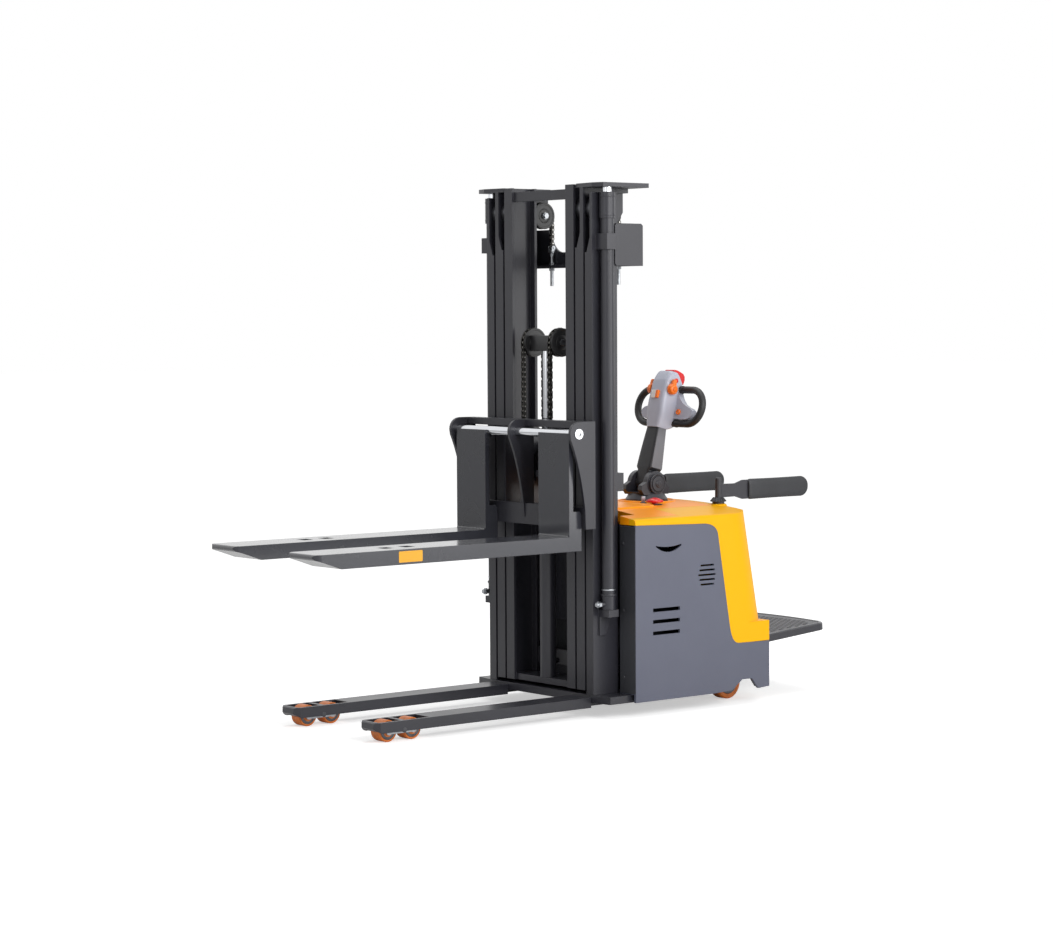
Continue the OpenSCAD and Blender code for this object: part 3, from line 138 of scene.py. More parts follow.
@dataclass(frozen=True)
class Finish:
    """One surface finish, from the real material's typical values.

    The colour drifts between two sRGB values over patches of patch_mm, the relief has grains of
    grain_mm raised by relief_mm, the roughness wanders by smear to either side, and edge_mm is the
    radius that sharp edges are rounded to where the light meets them.
    """

    name: str
    colour: str
    shade: str
    roughness: float
    grain: Grain
    grain_mm: float
    relief_mm: float
    patch_mm: float = 120.0
    edge_mm: float = 0.0
    metallic: float = 0.0
    ior: float = 1.5
    coat: float = 0.0
    coat_roughness: float = 0.1
    specular: float = 0.5
    smear: float = 0.06
    dirt: str | None = None
    dirt_mm: float = 40.0

    @functools.cache
    def material(self) -> bpy.types.Material:
        """Builds the node material at its first use.

        Returns:
            The material, ready to be put in a slot.
        """
        material = bpy.data.materials.new(self.name)
        material.use_nodes = True
        tree = material.node_tree
        shader = tree.nodes["Principled BSDF"]
        place = add_node(tree, "TexCoord", {}).outputs["Object"]
        stretch = BRUSHED_STRETCH if self.grain is Grain.BRUSHED else (1.0, 1.0, 1.0)
        drawn_out = add_node(tree, "Mapping", {"Scale": stretch}, {"Vector": place}).outputs["Vector"]
        patch = self._noise(tree, self.patch_mm, PATCH_NOISE, place)
        share = add_node(tree, "MapRange", PATCH_SPAN, {"Value": patch})
        mixed = add_node(tree, "Mix", {"data_type": "RGBA", 6: linear(self.colour), 7: linear(self.shade)},
                         {0: share.outputs["Result"]})
        colour = self._dirty(tree, place, mixed.outputs[2]) if self.dirt else mixed.outputs[2]
        tree.links.new(colour, shader.inputs["Base Color"])
        fine = self._noise(tree, self.grain_mm, FINE_NOISE, drawn_out)
        depth = {"Strength": BUMP_STRENGTH, "Distance": self.relief_mm * MM}
        bump = add_node(tree, "Bump", depth, {"Height": fine})
        if self.edge_mm:
            edge = add_node(tree, "Bevel", {"samples": 4, "Radius": self.edge_mm * MM})
            tree.links.new(edge.outputs["Normal"], bump.inputs["Normal"])
        tree.links.new(bump.outputs["Normal"], shader.inputs["Normal"])
        limits = {"To Min": self.roughness - self.smear, "To Max": self.roughness + self.smear}
        smear = add_node(tree, "MapRange", limits, {"Value": patch})
        tree.links.new(smear.outputs["Result"], shader.inputs["Roughness"])
        values = {"Metallic": self.metallic, "Coat Weight": self.coat, "Coat Roughness": self.coat_roughness}
        if not self.metallic:
            values |= {"IOR": self.ior, "Specular IOR Level": self.specular}
        for key, value in values.items():
            shader.inputs[key].default_value = value
        return material

    def _noise(self, tree: bpy.types.NodeTree, size_mm: float, values: dict,
               place: bpy.types.NodeSocket) -> bpy.types.NodeSocket:
        """Adds a noise whose features are as wide as size_mm, and hands out its value."""
        scaled = {"Scale": 1.0 / (size_mm * MM)} | values
        return add_node(tree, "TexNoise", scaled, {"Vector": place}).outputs["Fac"]

    def _dirty(self, tree: bpy.types.NodeTree, place: bpy.types.NodeSocket,
               colour: bpy.types.NodeSocket) -> bpy.types.NodeSocket:
        """Lays dust or grease over the colour where a second noise is high.

        Args:
            tree: The material's node tree.
            place: Object coordinates.
            colour: The clean colour.

        Returns:
            The colour with the dirt mixed in.
        """
        cloud = self._noise(tree, self.dirt_mm, DIRT_NOISE, place)
        mask = add_node(tree, "MapRange", DIRT_SPAN, {"Value": cloud})
        return add_node(tree, "Mix", {"data_type": "RGBA", 7: linear(self.dirt)},
                        {0: mask.outputs["Result"], 6: colour}).outputs[2]


# Each finish: name, two colours, roughness, grain, then grain, relief, patch and edge in millimetres
# Epoxy powder coat over steel: satin, with an even orange peel that breaks up highlights
FRAME_COAT = Finish("charcoal powder coat", "#2D2D34", "#27272D", 0.38, Grain.PEEL, 2.2, 0.05, 260.0, 2.5,
                    coat=0.15, coat_roughness=0.2)
# The same coat, nearly black, as painted shade on the body's shaded folds
PAINTED_SHADE_COAT = Finish("powder coat in painted shade", "#3C3D42", "#36373B", 0.42, Grain.PEEL, 2.2, 0.05, 200.0, 2.0)
# The same coat on the forks: smoother and glossier, so it reflects the white surroundings, and a little
# paler as a painted sheen
FORK_SHEEN_COAT = Finish("fork powder coat with painted sheen", "#37383F", "#313238", 0.26, Grain.PEEL, 2.2, 0.04, 180.0, 3.0,
                   coat=0.7, coat_roughness=0.12)
# Wet paint on sheet steel: blue grey, softer gloss
PANEL_PAINT = Finish("grey panel paint", "#5A5D6C", "#545766", 0.34, Grain.PEEL, 2.6, 0.04, 300.0, 2.0)
# Glossy moulded ABS in safety orange, and in safety yellow
HOOD_ABS = Finish("orange hood ABS", "#FF9C02", "#FC9602", 0.36, Grain.SMOOTH, 30.0, 0.05, 300.0, 7.0,
                  ior=1.54, specular=0.22, smear=0.04)
COVER_ABS = Finish("yellow cover ABS", "#F2B200", "#EFAD00", 0.4, Grain.SMOOTH, 30.0, 0.05, 300.0, 6.0,
                   ior=1.54, specular=0.15, smear=0.04)
# Hard chrome on ground rod: mirror bright, with faint turning marks
CHROME = Finish("hard chrome", "#E4E6EA", "#DADCE0", 0.12, Grain.BRUSHED, 0.8, 0.004,
                metallic=1.0, smear=0.03)
# Ground bearing steel with a film of grease
ROLLER_STEEL = Finish("ground roller steel", "#6E6F73", "#55565A", 0.34, Grain.BRUSHED, 1.2, 0.02, 20.0, 1.5,
                      metallic=1.0, dirt="#2B2A28", dirt_mm=18.0)
# Cast iron chain wheels, blacked and oily
WHEEL_IRON = Finish("blacked wheel iron", "#19191B", "#131315", 0.4, Grain.CAST, 3.0, 0.08, 25.0, 1.5,
                    coat=0.2)
# Zinc plate over pressed steel: dull bluish spangle
ZINC = Finish("zinc plate", "#B9BCC0", "#A6A9AD", 0.38, Grain.PEEL, 3.0, 0.02, 14.0, 0.8, metallic=1.0)
# Oiled chain steel: dark, with bright rubbed plates
CHAIN_STEEL = Finish("oiled chain steel", "#4A4846", "#2F2E2C", 0.36, Grain.PEEL, 1.5, 0.03, 9.0,
                     metallic=1.0, smear=0.12, dirt="#1D1B18", dirt_mm=12.0)
# Rubbed bright ends of the chain's rivets and its rollers
RIVET_STEEL = Finish("rubbed rivet steel", "#C9C7C2", "#8E8C88", 0.28, Grain.PEEL, 1.0, 0.02, 6.0,
                     metallic=1.0)
# Cast polyurethane tread: satin orange, with a darker bloom
POLYURETHANE = Finish("orange polyurethane", "#E07A2C", "#C96A22", 0.4, Grain.PEEL, 1.8, 0.04, 30.0, 2.0,
                      dirt="#8A5A38", dirt_mm=25.0)
# Glass filled nylon of the tiller column: near black with a fine spark grain, and its grey side inlays
COLUMN_NYLON = Finish("dark nylon", "#232428", "#1F2023", 0.48, Grain.MOULDED, 1.0, 0.06, 90.0, 2.0)
COLUMN_GREY = Finish("grey nylon", "#6C6D73", "#65666B", 0.44, Grain.MOULDED, 1.0, 0.05, 90.0, 2.0)
# Painted ABS shell of the tiller head: silver grey satin
HEAD_ABS = Finish("grey head ABS", "#B4B7C6", "#ABAEBC", 0.32, Grain.MOULDED, 1.0, 0.02, 90.0, 2.0)
# Soft touch rubber over the grip tubes
GRIP_RUBBER = Finish("grip rubber", "#1B1B1D", "#161618", 0.5, Grain.MOULDED, 1.0, 0.08, 60.0)
# Integral skin foam of the arm pads: matt with a leather grain
PAD_SKIN = Finish("foam skin", "#2C2D31", "#252629", 0.58, Grain.MOULDED, 2.4, 0.18)
# Moulded acetal controls, the last a pale colour painted as the glare on half of the horn pad
ORANGE_ACETAL = Finish("orange acetal", "#F5791A", "#EE7012", 0.3, Grain.MOULDED, 1.0, 0.02, 40.0, 1.0)
RED_ACETAL = Finish("red acetal", "#DA1B1E", "#CF1418", 0.28, Grain.MOULDED, 1.0, 0.02, 40.0, 1.0)
GLARE_ACETAL = Finish("acetal in painted glare", "#E9E4E2", "#DED8D6", 0.3, Grain.MOULDED, 1.0, 0.02, 40.0)
# Polypropylene battery case
BATTERY_CASE = Finish("battery polypropylene", "#2A2B2E", "#242528", 0.5, Grain.MOULDED, 1.5, 0.06,
                      edge_mm=4.0)
# Brushed enamel over cast housings
MACHINE_ENAMEL = Finish("machine enamel", "#33343A", "#2C2D32", 0.45, Grain.CAST, 4.0, 0.15, edge_mm=3.0)
# Nitrile mat on the platform
MAT_RUBBER = Finish("mat rubber", "#4C4D52", "#424348", 0.42, Grain.MOULDED, 1.6, 0.1)
# Polyester label stock, bare
PLATE_YELLOW = Finish("plain yellow plate", "#F0AC1C", "#E8A416", 0.35, Grain.SMOOTH, 8.0, 0.01)

SLOT_FINISH = {
    "frame_paint": FRAME_COAT, "panel_paint": PANEL_PAINT, "hood_plastic": HOOD_ABS,
    "cover_plastic": COVER_ABS, "battery_case": BATTERY_CASE, "machine_paint": MACHINE_ENAMEL,
    "zinc_steel": ZINC, "chrome_rod": CHROME, "chain_steel": CHAIN_STEEL, "roller_steel": ROLLER_STEEL,
    "wheel_polyurethane": POLYURETHANE, "column_plastic": COLUMN_NYLON, "head_plastic": HEAD_ABS,
    "grip_rubber": GRIP_RUBBER, "pad_rubber": PAD_SKIN, "orange_control": ORANGE_ACETAL,
    "red_control": RED_ACETAL,
}
# The forks wear the coat with the painted sheen
NODE_FINISH = {"left_fork": FORK_SHEEN_COAT, "right_fork": FORK_SHEEN_COAT, "mast_pulleys": WHEEL_IRON,
               "crosshead_wheels": WHEEL_IRON}


def dress_nodes(frame: dict) -> None:
    """Puts the finish of its record slot on each CAD node.
    """
    for part in frame["record"]["subparts"]:
        mesh = frame["nodes"][part["node"]].data
        finish = NODE_FINISH.get(part["node"], SLOT_FINISH[part["material_slot"]])
        mesh.materials.clear()
        mesh.materials.append(finish.material())
    LOG.info("dressed %d nodes", len(frame["nodes"]))


class Axis(Enum):
    """The axis a shape turns about or is drawn along, with its two cross axes in order."""

    X = (0, 1, 2)
    Y = (1, 2, 0)
    Z = (2, 0, 1)


def spread(along: np.ndarray, first: np.ndarray, second: np.ndarray, axis: Axis) -> np.ndarray:
    """Puts coordinates along an axis and its two cross axes into points.

    Args:
        along: Coordinates along the axis.
        first: Coordinates along the first cross axis.
        second: Coordinates along the second cross axis.
        axis: The axis.

    Returns:
        An array of points with one more dimension of length three.
    """
    parts = np.broadcast_arrays(along, first, second)
    points = np.empty(parts[0].shape + (3,))
    for place, part in zip(axis.value, parts):
        points[..., place] = part
    return points


def whole_turn(count: int) -> np.ndarray:
    """Evenly spaced angles of a whole turn in radians."""
    return np.linspace(0.0, 2.0 * np.pi, count, endpoint=False)


def arc(centre: tuple[float, float], radius: float, start: float, end: float, count: int) -> np.ndarray:
    """Points of a circle's arc: the centre plus the radius times cosine and sine of evenly spaced angles."""
    angle = np.radians(np.linspace(start, end, count))
    return np.stack([centre[0] + radius * np.cos(angle), centre[1] + radius * np.sin(angle)], axis=1)


def rounded_box(low: tuple[float, float], high: tuple[float, float], radius: float,
                count: int = 6) -> np.ndarray:
    """Outline of a rectangle with round corners: four quarter arcs joined by straight lines.

    Args:
        low: Lower corner.
        high: Upper corner.
        radius: Radius of the corners.
        count: Points in a corner.

    Returns:
        The outline, counter-clockwise from the lower right.
    """
    (x0, y0), (x1, y1) = low, high
    corners = [((x1 - radius, y0 + radius), -90.0), ((x1 - radius, y1 - radius), 0.0),
               ((x0 + radius, y1 - radius), 90.0), ((x0 + radius, y0 + radius), 180.0)]
    return np.concatenate([arc(centre, radius, start, start + 90.0, count) for centre, start in corners])


def hexagon(radius: float, centre: tuple[float, float] = (0.0, 0.0)) -> np.ndarray:
    """Outline of a hexagon with corners at the radius."""
    return arc((0.0, 0.0), radius, 0.0, 300.0, 6) + np.array(centre)


def turned(outline: np.ndarray, radians: float) -> np.ndarray:
    """Turns an outline about its zero: x cos a - y sin a, and x sin a + y cos a."""
    c, s = math.cos(radians), math.sin(radians)
    return np.stack([outline[:, 0] * c - outline[:, 1] * s, outline[:, 0] * s + outline[:, 1] * c], axis=1)


def raised(face: float, rise: float, radii: tuple[float, float, float, float]) -> np.ndarray:
    """Section of a ring on a flat face: it rises between the first two radii and falls between the last."""
    return np.stack([face + rise * np.array([0.0, 1.0, 1.0, 0.0]), np.array(radii)], axis=1)


def squared(wave: np.ndarray, power: float) -> np.ndarray:
    """A superellipse's coordinate: the size of a sine or cosine raised to 2 / power, with its sign."""
    return np.sign(wave) * np.abs(wave) ** (2.0 / power)


def lofted(heights: np.ndarray, half: np.ndarray, front: np.ndarray, back: np.ndarray, power: float,
           count: int) -> np.ndarray:
    """Rings of a post that stands along Z. Each ring is a superellipse: X is the half width times the
    squared cosine, and Y the middle plus half the depth times the squared sine.

    Args:
        heights: Height of each ring.
        half: Half width of each ring.
        front: Lowest Y of each ring.
        back: Highest Y of each ring.
        power: Exponent of the superellipse: 2 is an ellipse, and more is squarer.
        count: Points in a ring.

    Returns:
        Points by ring and by place in the ring.
    """
    angle = whole_turn(count)[None, :]
    middle, reach = (front + back)[:, None] / 2.0, (back - front)[:, None] / 2.0
    return spread(heights[:, None], half[:, None] * squared(np.cos(angle), power),
                  middle + reach * squared(np.sin(angle), power), Axis.Z)


@dataclass(frozen=True)
class Tilt:
    """A turn about an axis that runs along X."""

    pivot_y: float = 0.0
    pivot_z: float = 0.0
    degrees: float = 0.0

    def apply(self, points: np.ndarray) -> np.ndarray:
        """Turns points about the pivot: Y is y cos a - z sin a, Z is y sin a + z cos a, plus the pivot.

        Args:
            points: Rows of points drawn from the pivot.

        Returns:
            The points in the load-face frame.
        """
        c, s = math.cos(math.radians(self.degrees)), math.sin(math.radians(self.degrees))
        x, y, z = points.T
        return np.stack([x, self.pivot_y + y * c - z * s, self.pivot_z + y * s + z * c], axis=1)


class Builder:
    """Collects surfaces in millimetres of the load-face frame and makes them one piece on a body."""

    def __init__(self, name: str, body: str, slot: str, *finishes: Finish, node: str = "",
                 tilt: Tilt = Tilt()) -> None:
        """Starts an empty piece.

        Args:
            name: The piece's name.
            body: The body it rides on.
            slot: The record's material slot, or nothing; not used.
            finishes: Its finishes, in the order that faces number them.
            node: The CAD node that it stands for, or nothing.
            tilt: The turn from the frame it is drawn in to the load-face frame.
        """
        self.name, self.body, self.slot, self.node = name, body, slot, node
        self.finishes, self.tilt = finishes, tilt
        self.points: list[np.ndarray] = []
        self.faces: list[list[list[int]]] = []
        self.finish_of: list[np.ndarray] = []
        self.count = 0

    def add(self, points: np.ndarray, faces: list, finish: int = 0) -> Builder:
        """Adds points and faces that refer to them.

        Args:
            points: Any array of points, flattened in order.
            faces: Lists of point numbers.
            finish: Which of the piece's finishes the faces have.

        Returns:
            The builder.
        """
        flat = np.asarray(points, float).reshape(-1, 3)
        self.points.append(flat)
        self.faces.append([[i + self.count for i in face] for face in faces])
        self.finish_of.append(np.full(len(faces), finish))
        self.count += len(flat)
        return self

    def grid(self, points: np.ndarray, loop: bool = False, finish: int = 0) -> Builder:
        """Adds a surface given by points on a grid of two parameters, whose columns close on themselves.

        Args:
            points: Array of rows, columns and three coordinates.
            loop: Whether the rows close on themselves too. If not, both ends get a cap.
            finish: Which finish the surface has.

        Returns:
            The builder.
        """
        rows, columns = points.shape[:2]
        number = np.arange(rows * columns).reshape(rows, columns)
        number = np.concatenate([number, number[:, :1]], axis=1)
        if loop:
            number = np.concatenate([number, number[:1]], axis=0)
        corners = [number[:-1, :-1], number[:-1, 1:], number[1:, 1:], number[1:, :-1]]
        faces = np.stack(corners, axis=-1).reshape(-1, 4).tolist()
        if not loop:
            faces.append(list(range(columns))[::-1])
            faces.append(list(range((rows - 1) * columns, rows * columns)))
        return self.add(points, faces, finish)

    def turn(self, profile: list, axis: Axis, centre: Point, steps: int = 40) -> Builder:
        """Turns an open profile about an axis: each point is the centre, plus its length along the axis,
        plus its radius times cosine and sine of the angle along the two cross axes.

        Args:
            profile: Pairs of length along the axis and radius, ending on or near the axis.
            axis: The axis.
            centre: Where the profile's zero stands.
            steps: Number of steps round.

        Returns:
            The builder.
        """
        line = np.array(profile, float)
        angle = whole_turn(steps)[None, :]
        radius = np.maximum(line[:, 1:2], LEAST_RADIUS)
        points = spread(line[:, 0:1], radius * np.cos(angle), radius * np.sin(angle), axis)
        return self.grid(points + np.array(centre))

    def ring(self, section: np.ndarray, axis: Axis, centre: Point, steps: int = 40,
             finish: int = 0) -> Builder:
        """Turns a closed section of lengths and radii about an axis, as turn does with an open one.

        Args:
            section: Closed outline of length along the axis and radius.
            axis: The axis.
            centre: Where the section's zero stands.
            steps: Number of steps round.
            finish: Which finish the surface has.

        Returns:
            The builder.
        """
        angle = whole_turn(steps)[:, None]
        along, radius = section[None, :, 0], section[None, :, 1]
        points = spread(along, radius * np.cos(angle), radius * np.sin(angle), axis)
        return self.grid(points + np.array(centre), True, finish)

    def prism(self, outline: np.ndarray, axis: Axis, low: float, high: float, finish: int = 0) -> Builder:
        """Draws a closed outline of the two cross axes out along an axis, from low to high."""
        ends = np.array([low, high])[:, None]
        return self.grid(spread(ends, outline[None, :, 0], outline[None, :, 1], axis), finish=finish)

    def sweep(self, path: np.ndarray, section: np.ndarray, side: Point, closed: bool = False) -> Builder:
        """Carries a section along a path: each point is the path's point, plus the section's first
        coordinate along the fixed side direction, plus its second along the cross product of side and
        tangent.

        Args:
            path: Points of the path.
            section: Closed outline across the path.
            side: A direction square to the whole path.
            closed: Whether the path closes on itself.

        Returns:
            The builder.
        """
        if closed:
            tangent = np.roll(path, -1, axis=0) - np.roll(path, 1, axis=0)
        else:
            tangent = np.gradient(path, axis=0)
        tangent /= np.linalg.norm(tangent, axis=1, keepdims=True)
        fixed = np.array(side, float)
        across = np.cross(fixed[None, :], tangent)
        across /= np.linalg.norm(across, axis=1, keepdims=True)
        points = (path[:, None, :] + section[None, :, 0:1] * fixed[None, None, :]
                  + section[None, :, 1:2] * across[:, None, :])
        return self.grid(points, closed)

    def mirror(self, first: int = 0) -> Builder:
        """Copies the surfaces from the numbered one on to the other side of the middle plane.

        Args:
            first: Number of the first surface that is copied.

        Returns:
            The builder, the copy's faces turned round.
        """
        offset = sum(len(block) for block in self.points[first:])
        for points, faces, finish in list(zip(self.points, self.faces, self.finish_of))[first:]:
            self.points.append(points * MIRROR)
            self.faces.append([[i + offset for i in face[::-1]] for face in faces])
            self.finish_of.append(finish)
        self.count += offset
        return self

    def make(self, round_mm: float = 0.0, steps: int = 3, smooth: float = 32.0) -> bpy.types.Object:
        """Makes the mesh object at the origin of the row frame, with doubles merged and normals outward.

        Args:
            round_mm: Radius of the rounded edges.
            steps: Number of steps across a rounded edge.
            smooth: Angle in degrees up to which faces are shaded as one surface.

        Returns:
            The object, with the node it stands for hidden, on no body yet.
        """
        points = self.tilt.apply(np.concatenate(self.points)) + np.array([0.0, LOAD_FACE_Y, 0.0])
        mesh = bpy.data.meshes.new(self.name)
        mesh.from_pydata((points * MM).tolist(), [], [face for block in self.faces for face in block])
        mesh.polygons.foreach_set("material_index", np.concatenate(self.finish_of).astype(np.int32))
        for finish in self.finishes:
            mesh.materials.append(finish.material())
        cleaner = bmesh.new()
        cleaner.from_mesh(mesh)
        bmesh.ops.remove_doubles(cleaner, verts=cleaner.verts, dist=MERGE_MM * MM)
        bmesh.ops.recalc_face_normals(cleaner, faces=cleaner.faces)
        cleaner.to_mesh(mesh)
        cleaner.free()
        mesh.polygons.foreach_set("use_smooth", np.ones(len(mesh.polygons), bool))
        mesh.set_sharp_from_angle(angle=math.radians(smooth))
        piece = bpy.data.objects.new(self.name, mesh)
        bpy.context.scene.collection.objects.link(piece)
        if round_mm:
            bevel = piece.modifiers.new("rounded edges", "BEVEL")
            bevel.width = round_mm * MM
            bevel.segments = steps
            bevel.limit_method = "ANGLE"
            bevel.angle_limit = math.radians(smooth)
            bevel.harden_normals = True
        if self.node:
            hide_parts(self.node)
        LOG.info("%s on %s, %d faces", piece.name, self.body, len(mesh.polygons))
        return piece

    def settle(self, round_mm: float = 0.0, steps: int = 3, smooth: float = 32.0) -> None:
        """Makes the object and lets it ride on its body."""
        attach(self.make(round_mm, steps, smooth), self.body)


@dataclass(frozen=True)
class Fastener:
    """A hexagon bolt head or nut on its washer."""

    across: float
    height: float
    washer: float = 2.5
    washer_share: float = 1.28
    corner_share: float = 1.155

    def lay(self, into: Builder, seat: Point, outward: float) -> None:
        """Adds the washer and the head to a piece, on an axis along X.

        Args:
            into: The piece.
            seat: Middle of the surface it is tightened on.
            outward: One or minus one, the way it stands out.
        """
        reach = self.across / 2.0
        step, rim = self.washer * outward, reach * self.washer_share
        into.turn([(0.0, 1.0), (0.0, rim), (step, rim), (step, 1.0)], Axis.X, seat, 28)
        start = seat[0] + step
        end = start + self.height * outward
        into.prism(hexagon(reach * self.corner_share, seat[1:]), Axis.X, min(start, end), max(start, end))


@dataclass
class Tiller:
    """Tiller head, column, grips, controls and the ribs on the tilt joint's discs."""

    axis_z: float = 854.0
    lean: float = 14.0
    column_top: float = 233.5
    inlay_low: float = 62.0
    inlay_high: float = 230.0
    foot: float = 226.0
    top: float = 458.0
    grip_y: float = 50.0
    grip_r: float = 14.5
    grip_half: float = 204.0
    grip_low: float = 256.0
    grip_high: float = 394.0
    throttle: Point = (0.0, -6.0, 384.0)
    horn_z: float = 357.0
    button_x: float = 74.0
    button_z: float = 300.0

    def piece(self, name: str, body: str, slot: str, *finishes: Finish, node: str = "") -> Builder:
        """Starts a piece in the tiller's own frame, leaned back about the tilt axis."""
        return Builder(name, body, slot, *finishes, node=node, tilt=Tilt(STEER_Y, self.axis_z, -self.lean))

    def column(self) -> None:
        """Tapered column: a loft of squarish superellipses, with a grey inlay on each side face. The inlay's
        front edge bows by a power of its height, and its back edge leans in a straight line."""
        piece = self.piece("tiller_column_shell", "tiller", "column_plastic", COLUMN_NYLON, COLUMN_GREY,
                           node="tiller_column")
        heights = np.concatenate([[0.0, 50.0, 60.0], np.linspace(66.0, 228.0, 12), [self.column_top]])
        half = np.interp(heights, [0, 50, 60, self.column_top], [33.5, 34.0, 43.0, 33.0])
        front = np.interp(heights, [0, 60, self.column_top], [-30.0, -33.0, -22.0])
        back = np.interp(heights, [0, 60, self.column_top], [30.0, 33.0, 24.0])
        piece.grid(lofted(heights, half, front, back, 9.0, 56))
        barrel = [(-35.0, 0.0), (-35.0, 29.0), (-34.0, 30.0), (34.0, 30.0), (35.0, 29.0), (35.0, 0.0)]
        piece.turn(barrel, Axis.X, ORIGIN, 48)
        rise = np.linspace(0.0, 1.0, 14)
        tall = self.inlay_high - self.inlay_low
        height = self.inlay_low + tall * rise
        fore = np.stack([-27.0 + 9.5 * rise ** 1.6, height], axis=1)
        aft = np.stack([29.0 - 8.0 * rise, height], axis=1)[::-1]
        inlay = np.concatenate([fore, aft])
        outside = 45.5 - (inlay[:, 1] - self.inlay_low) / tall * 10.0
        plate = spread(np.stack([outside - 7.0, outside]), inlay[None, :, 0], inlay[None, :, 1], Axis.X)
        piece.grid(plate, finish=1).grid(plate * MIRROR, finish=1)
        piece.settle(1.6, 2, 40.0)

    def head(self) -> None:
        """Head: a loft whose width and depth follow straight lines between the given corners, with two wings
        whose outline is drawn out and rounded."""
        piece = self.piece("tiller_head_shell", "tiller", "head_plastic", HEAD_ABS, node="tiller_head")
        foot, top = self.foot, self.top
        heights = np.concatenate([np.linspace(foot, 280.0, 14), np.linspace(290.0, 400.0, 12),
                                  np.linspace(405.0, top - 4.0, 12), [top - 1.5, top]])
        half = np.interp(heights, [foot, 236, 262, 285, 402, 430, 446, 454, top],
                         [36, 39.5, 46, 50, 49, 46.5, 44, 40, 35])
        front = np.interp(heights, [foot, 326, 400, 418, 440, 452, top],
                          [-29, -36, -31.5, -29, -20, -14.5, -10])
        back = np.interp(heights, [foot, 232, 240, 252, 402, 420, 440, 452, top],
                         [30, 48, 60, 66, 66, 62.5, 46, 36, 30])
        piece.grid(lofted(heights, half, front, back, 5.0, 64))
        wing = np.array([[47.0, 40.0], [45.0, 118.0], [52.0, 138.0], [66.0, 148.0], [82.0, 149.0],
                         [92.0, 136.0], [99.0, 112.0], [111.0, 88.0], [129.0, 68.0], [154.0, 52.0],
                         [160.0, 40.0]])
        piece.prism(wing + np.array([foot, 0.0]), Axis.Y, 36.0, 63.0)
        piece.mirror(1).settle(5.0, 4, 40.0)

    def grips(self) -> None:
        """Grips: a round tube on a D-shaped path of two straight arms and a half circle, with collars."""
        piece = self.piece("tiller_grip_loops", "tiller", "grip_rubber", GRIP_RUBBER, node="tiller_grips")
        bend = (self.grip_high - self.grip_low) / 2.0
        straight = self.grip_half - self.grip_r - bend
        upper = np.stack([np.linspace(34.0, straight, 18)[:-1], np.full(17, self.grip_high)], axis=1)
        outer = arc((straight, (self.grip_high + self.grip_low) / 2.0), bend, 90.0, -90.0, 60)
        lower = np.stack([np.linspace(straight, 40.0, 18)[1:], np.full(17, self.grip_low)], axis=1)
        line = np.concatenate([upper, outer, lower])
        path = np.stack([line[:, 0], np.full(len(line), self.grip_y), line[:, 1]], axis=1)
        piece.sweep(path, arc((0.0, 0.0), self.grip_r, 0.0, 345.0, 24), (0.0, 1.0, 0.0))
        for height in (self.grip_high, self.grip_low):
            collar = rounded_box((-5.0, 13.0), (5.0, self.grip_r + 1.4), 1.2)
            piece.ring(collar, Axis.X, (58.0, self.grip_y, height), 32)
        piece.mirror().settle()

    def butterfly(self) -> None:
        """Butterfly throttle: a turned hub with a rim on each side of the head, thumb wings and knurling."""
        piece = self.piece("throttle_butterfly", "throttle", "orange_control", ORANGE_ACETAL,
                           node="throttle")
        bar = [(-78.0, 1.0), (-78.0, 7.0), (-77.0, 8.0), (77.0, 8.0), (78.0, 7.0), (78.0, 1.0)]
        piece.turn(bar, Axis.X, self.throttle, 24)
        hub = [(51.5, 8.5), (51.5, 20.0), (53.0, 21.8), (56.0, 22.0), (57.0, 20.5), (69.0, 20.0),
               (71.5, 18.0), (74.0, 13.0), (74.5, 8.5)]
        piece.ring(np.array(hub), Axis.X, self.throttle, 48)
        middle = np.array(self.throttle[1:])
        wing = [[-10.0, 14.0], [-9.0, 30.0], [-6.5, 38.0], [0.0, 40.5], [6.5, 38.0], [9.0, 30.0],
                [10.0, 14.0]]
        piece.prism(np.array(wing) + middle, Axis.X, 57.0, 69.0)
        ridge = np.array([[-1.2, 20.0], [1.2, 20.0], [0.8, 23.0], [-0.8, 23.0]])
        for angle in np.radians(np.arange(150.0, 390.0, 20.0)):
            piece.prism(turned(ridge, angle) * 0.95 + middle, Axis.X, 59.0, 68.0)
        piece.mirror().settle(0.8, 2, 40.0)

    def belly_switch(self) -> None:
        """Belly switch: the side view of the red cap drawn out and well rounded."""
        piece = self.piece("belly_switch_cap", "belly_switch", "red_control", RED_ACETAL,
                           node="belly_switch")
        side = [[14.4, -40.0], [76.0, -40.0], [79.5, -20.0], [76.0, -4.0], [66.0, 5.0], [48.0, 9.0],
                [30.0, 11.5], [14.4, 10.5]]
        piece.prism(np.array(side) + np.array([0.0, self.top]), Axis.X, -30.0, 30.0).settle(5.0, 4, 50.0)

    def buttons(self) -> None:
        """Thumb buttons, turned with a shallow dish in the cap, and the horn pad, one half of it pale as a
        painted glare.
        """
        cap = [(50.0, 1.0), (50.0, 11.2), (30.5, 11.2), (28.2, 9.5), (28.0, 8.0), (29.2, 5.0), (29.6, 0.5)]
        for name, side in (("lift_button", 1.0), ("lower_button", -1.0)):
            piece = self.piece(name + "_cap", name, "orange_control", ORANGE_ACETAL, node=name)
            piece.turn(cap, Axis.Y, (side * self.button_x, 0.0, self.button_z), 32).settle()
        horn = self.piece("horn_button_pad", "horn_button", "orange_control", ORANGE_ACETAL, GLARE_ACETAL,
                          node="horn_button")
        # The first block is the pale half, a painted glare on the pad
        blocks = ((-19.0, 5.0, 16.0, -44.0, -30.5, 1), (6.0, 19.0, 16.0, -44.0, -30.5, 0),
                  (-15.0, 15.0, 12.0, -40.0, -31.0, 0))
        for x0, x1, tall, front, back, finish in blocks:
            outline = rounded_box((self.horn_z - tall, x0), (self.horn_z + tall, x1), 3.0)
            horn.prism(outline, Axis.Y, front, back, finish)
        horn.settle(1.6, 3, 40.0)

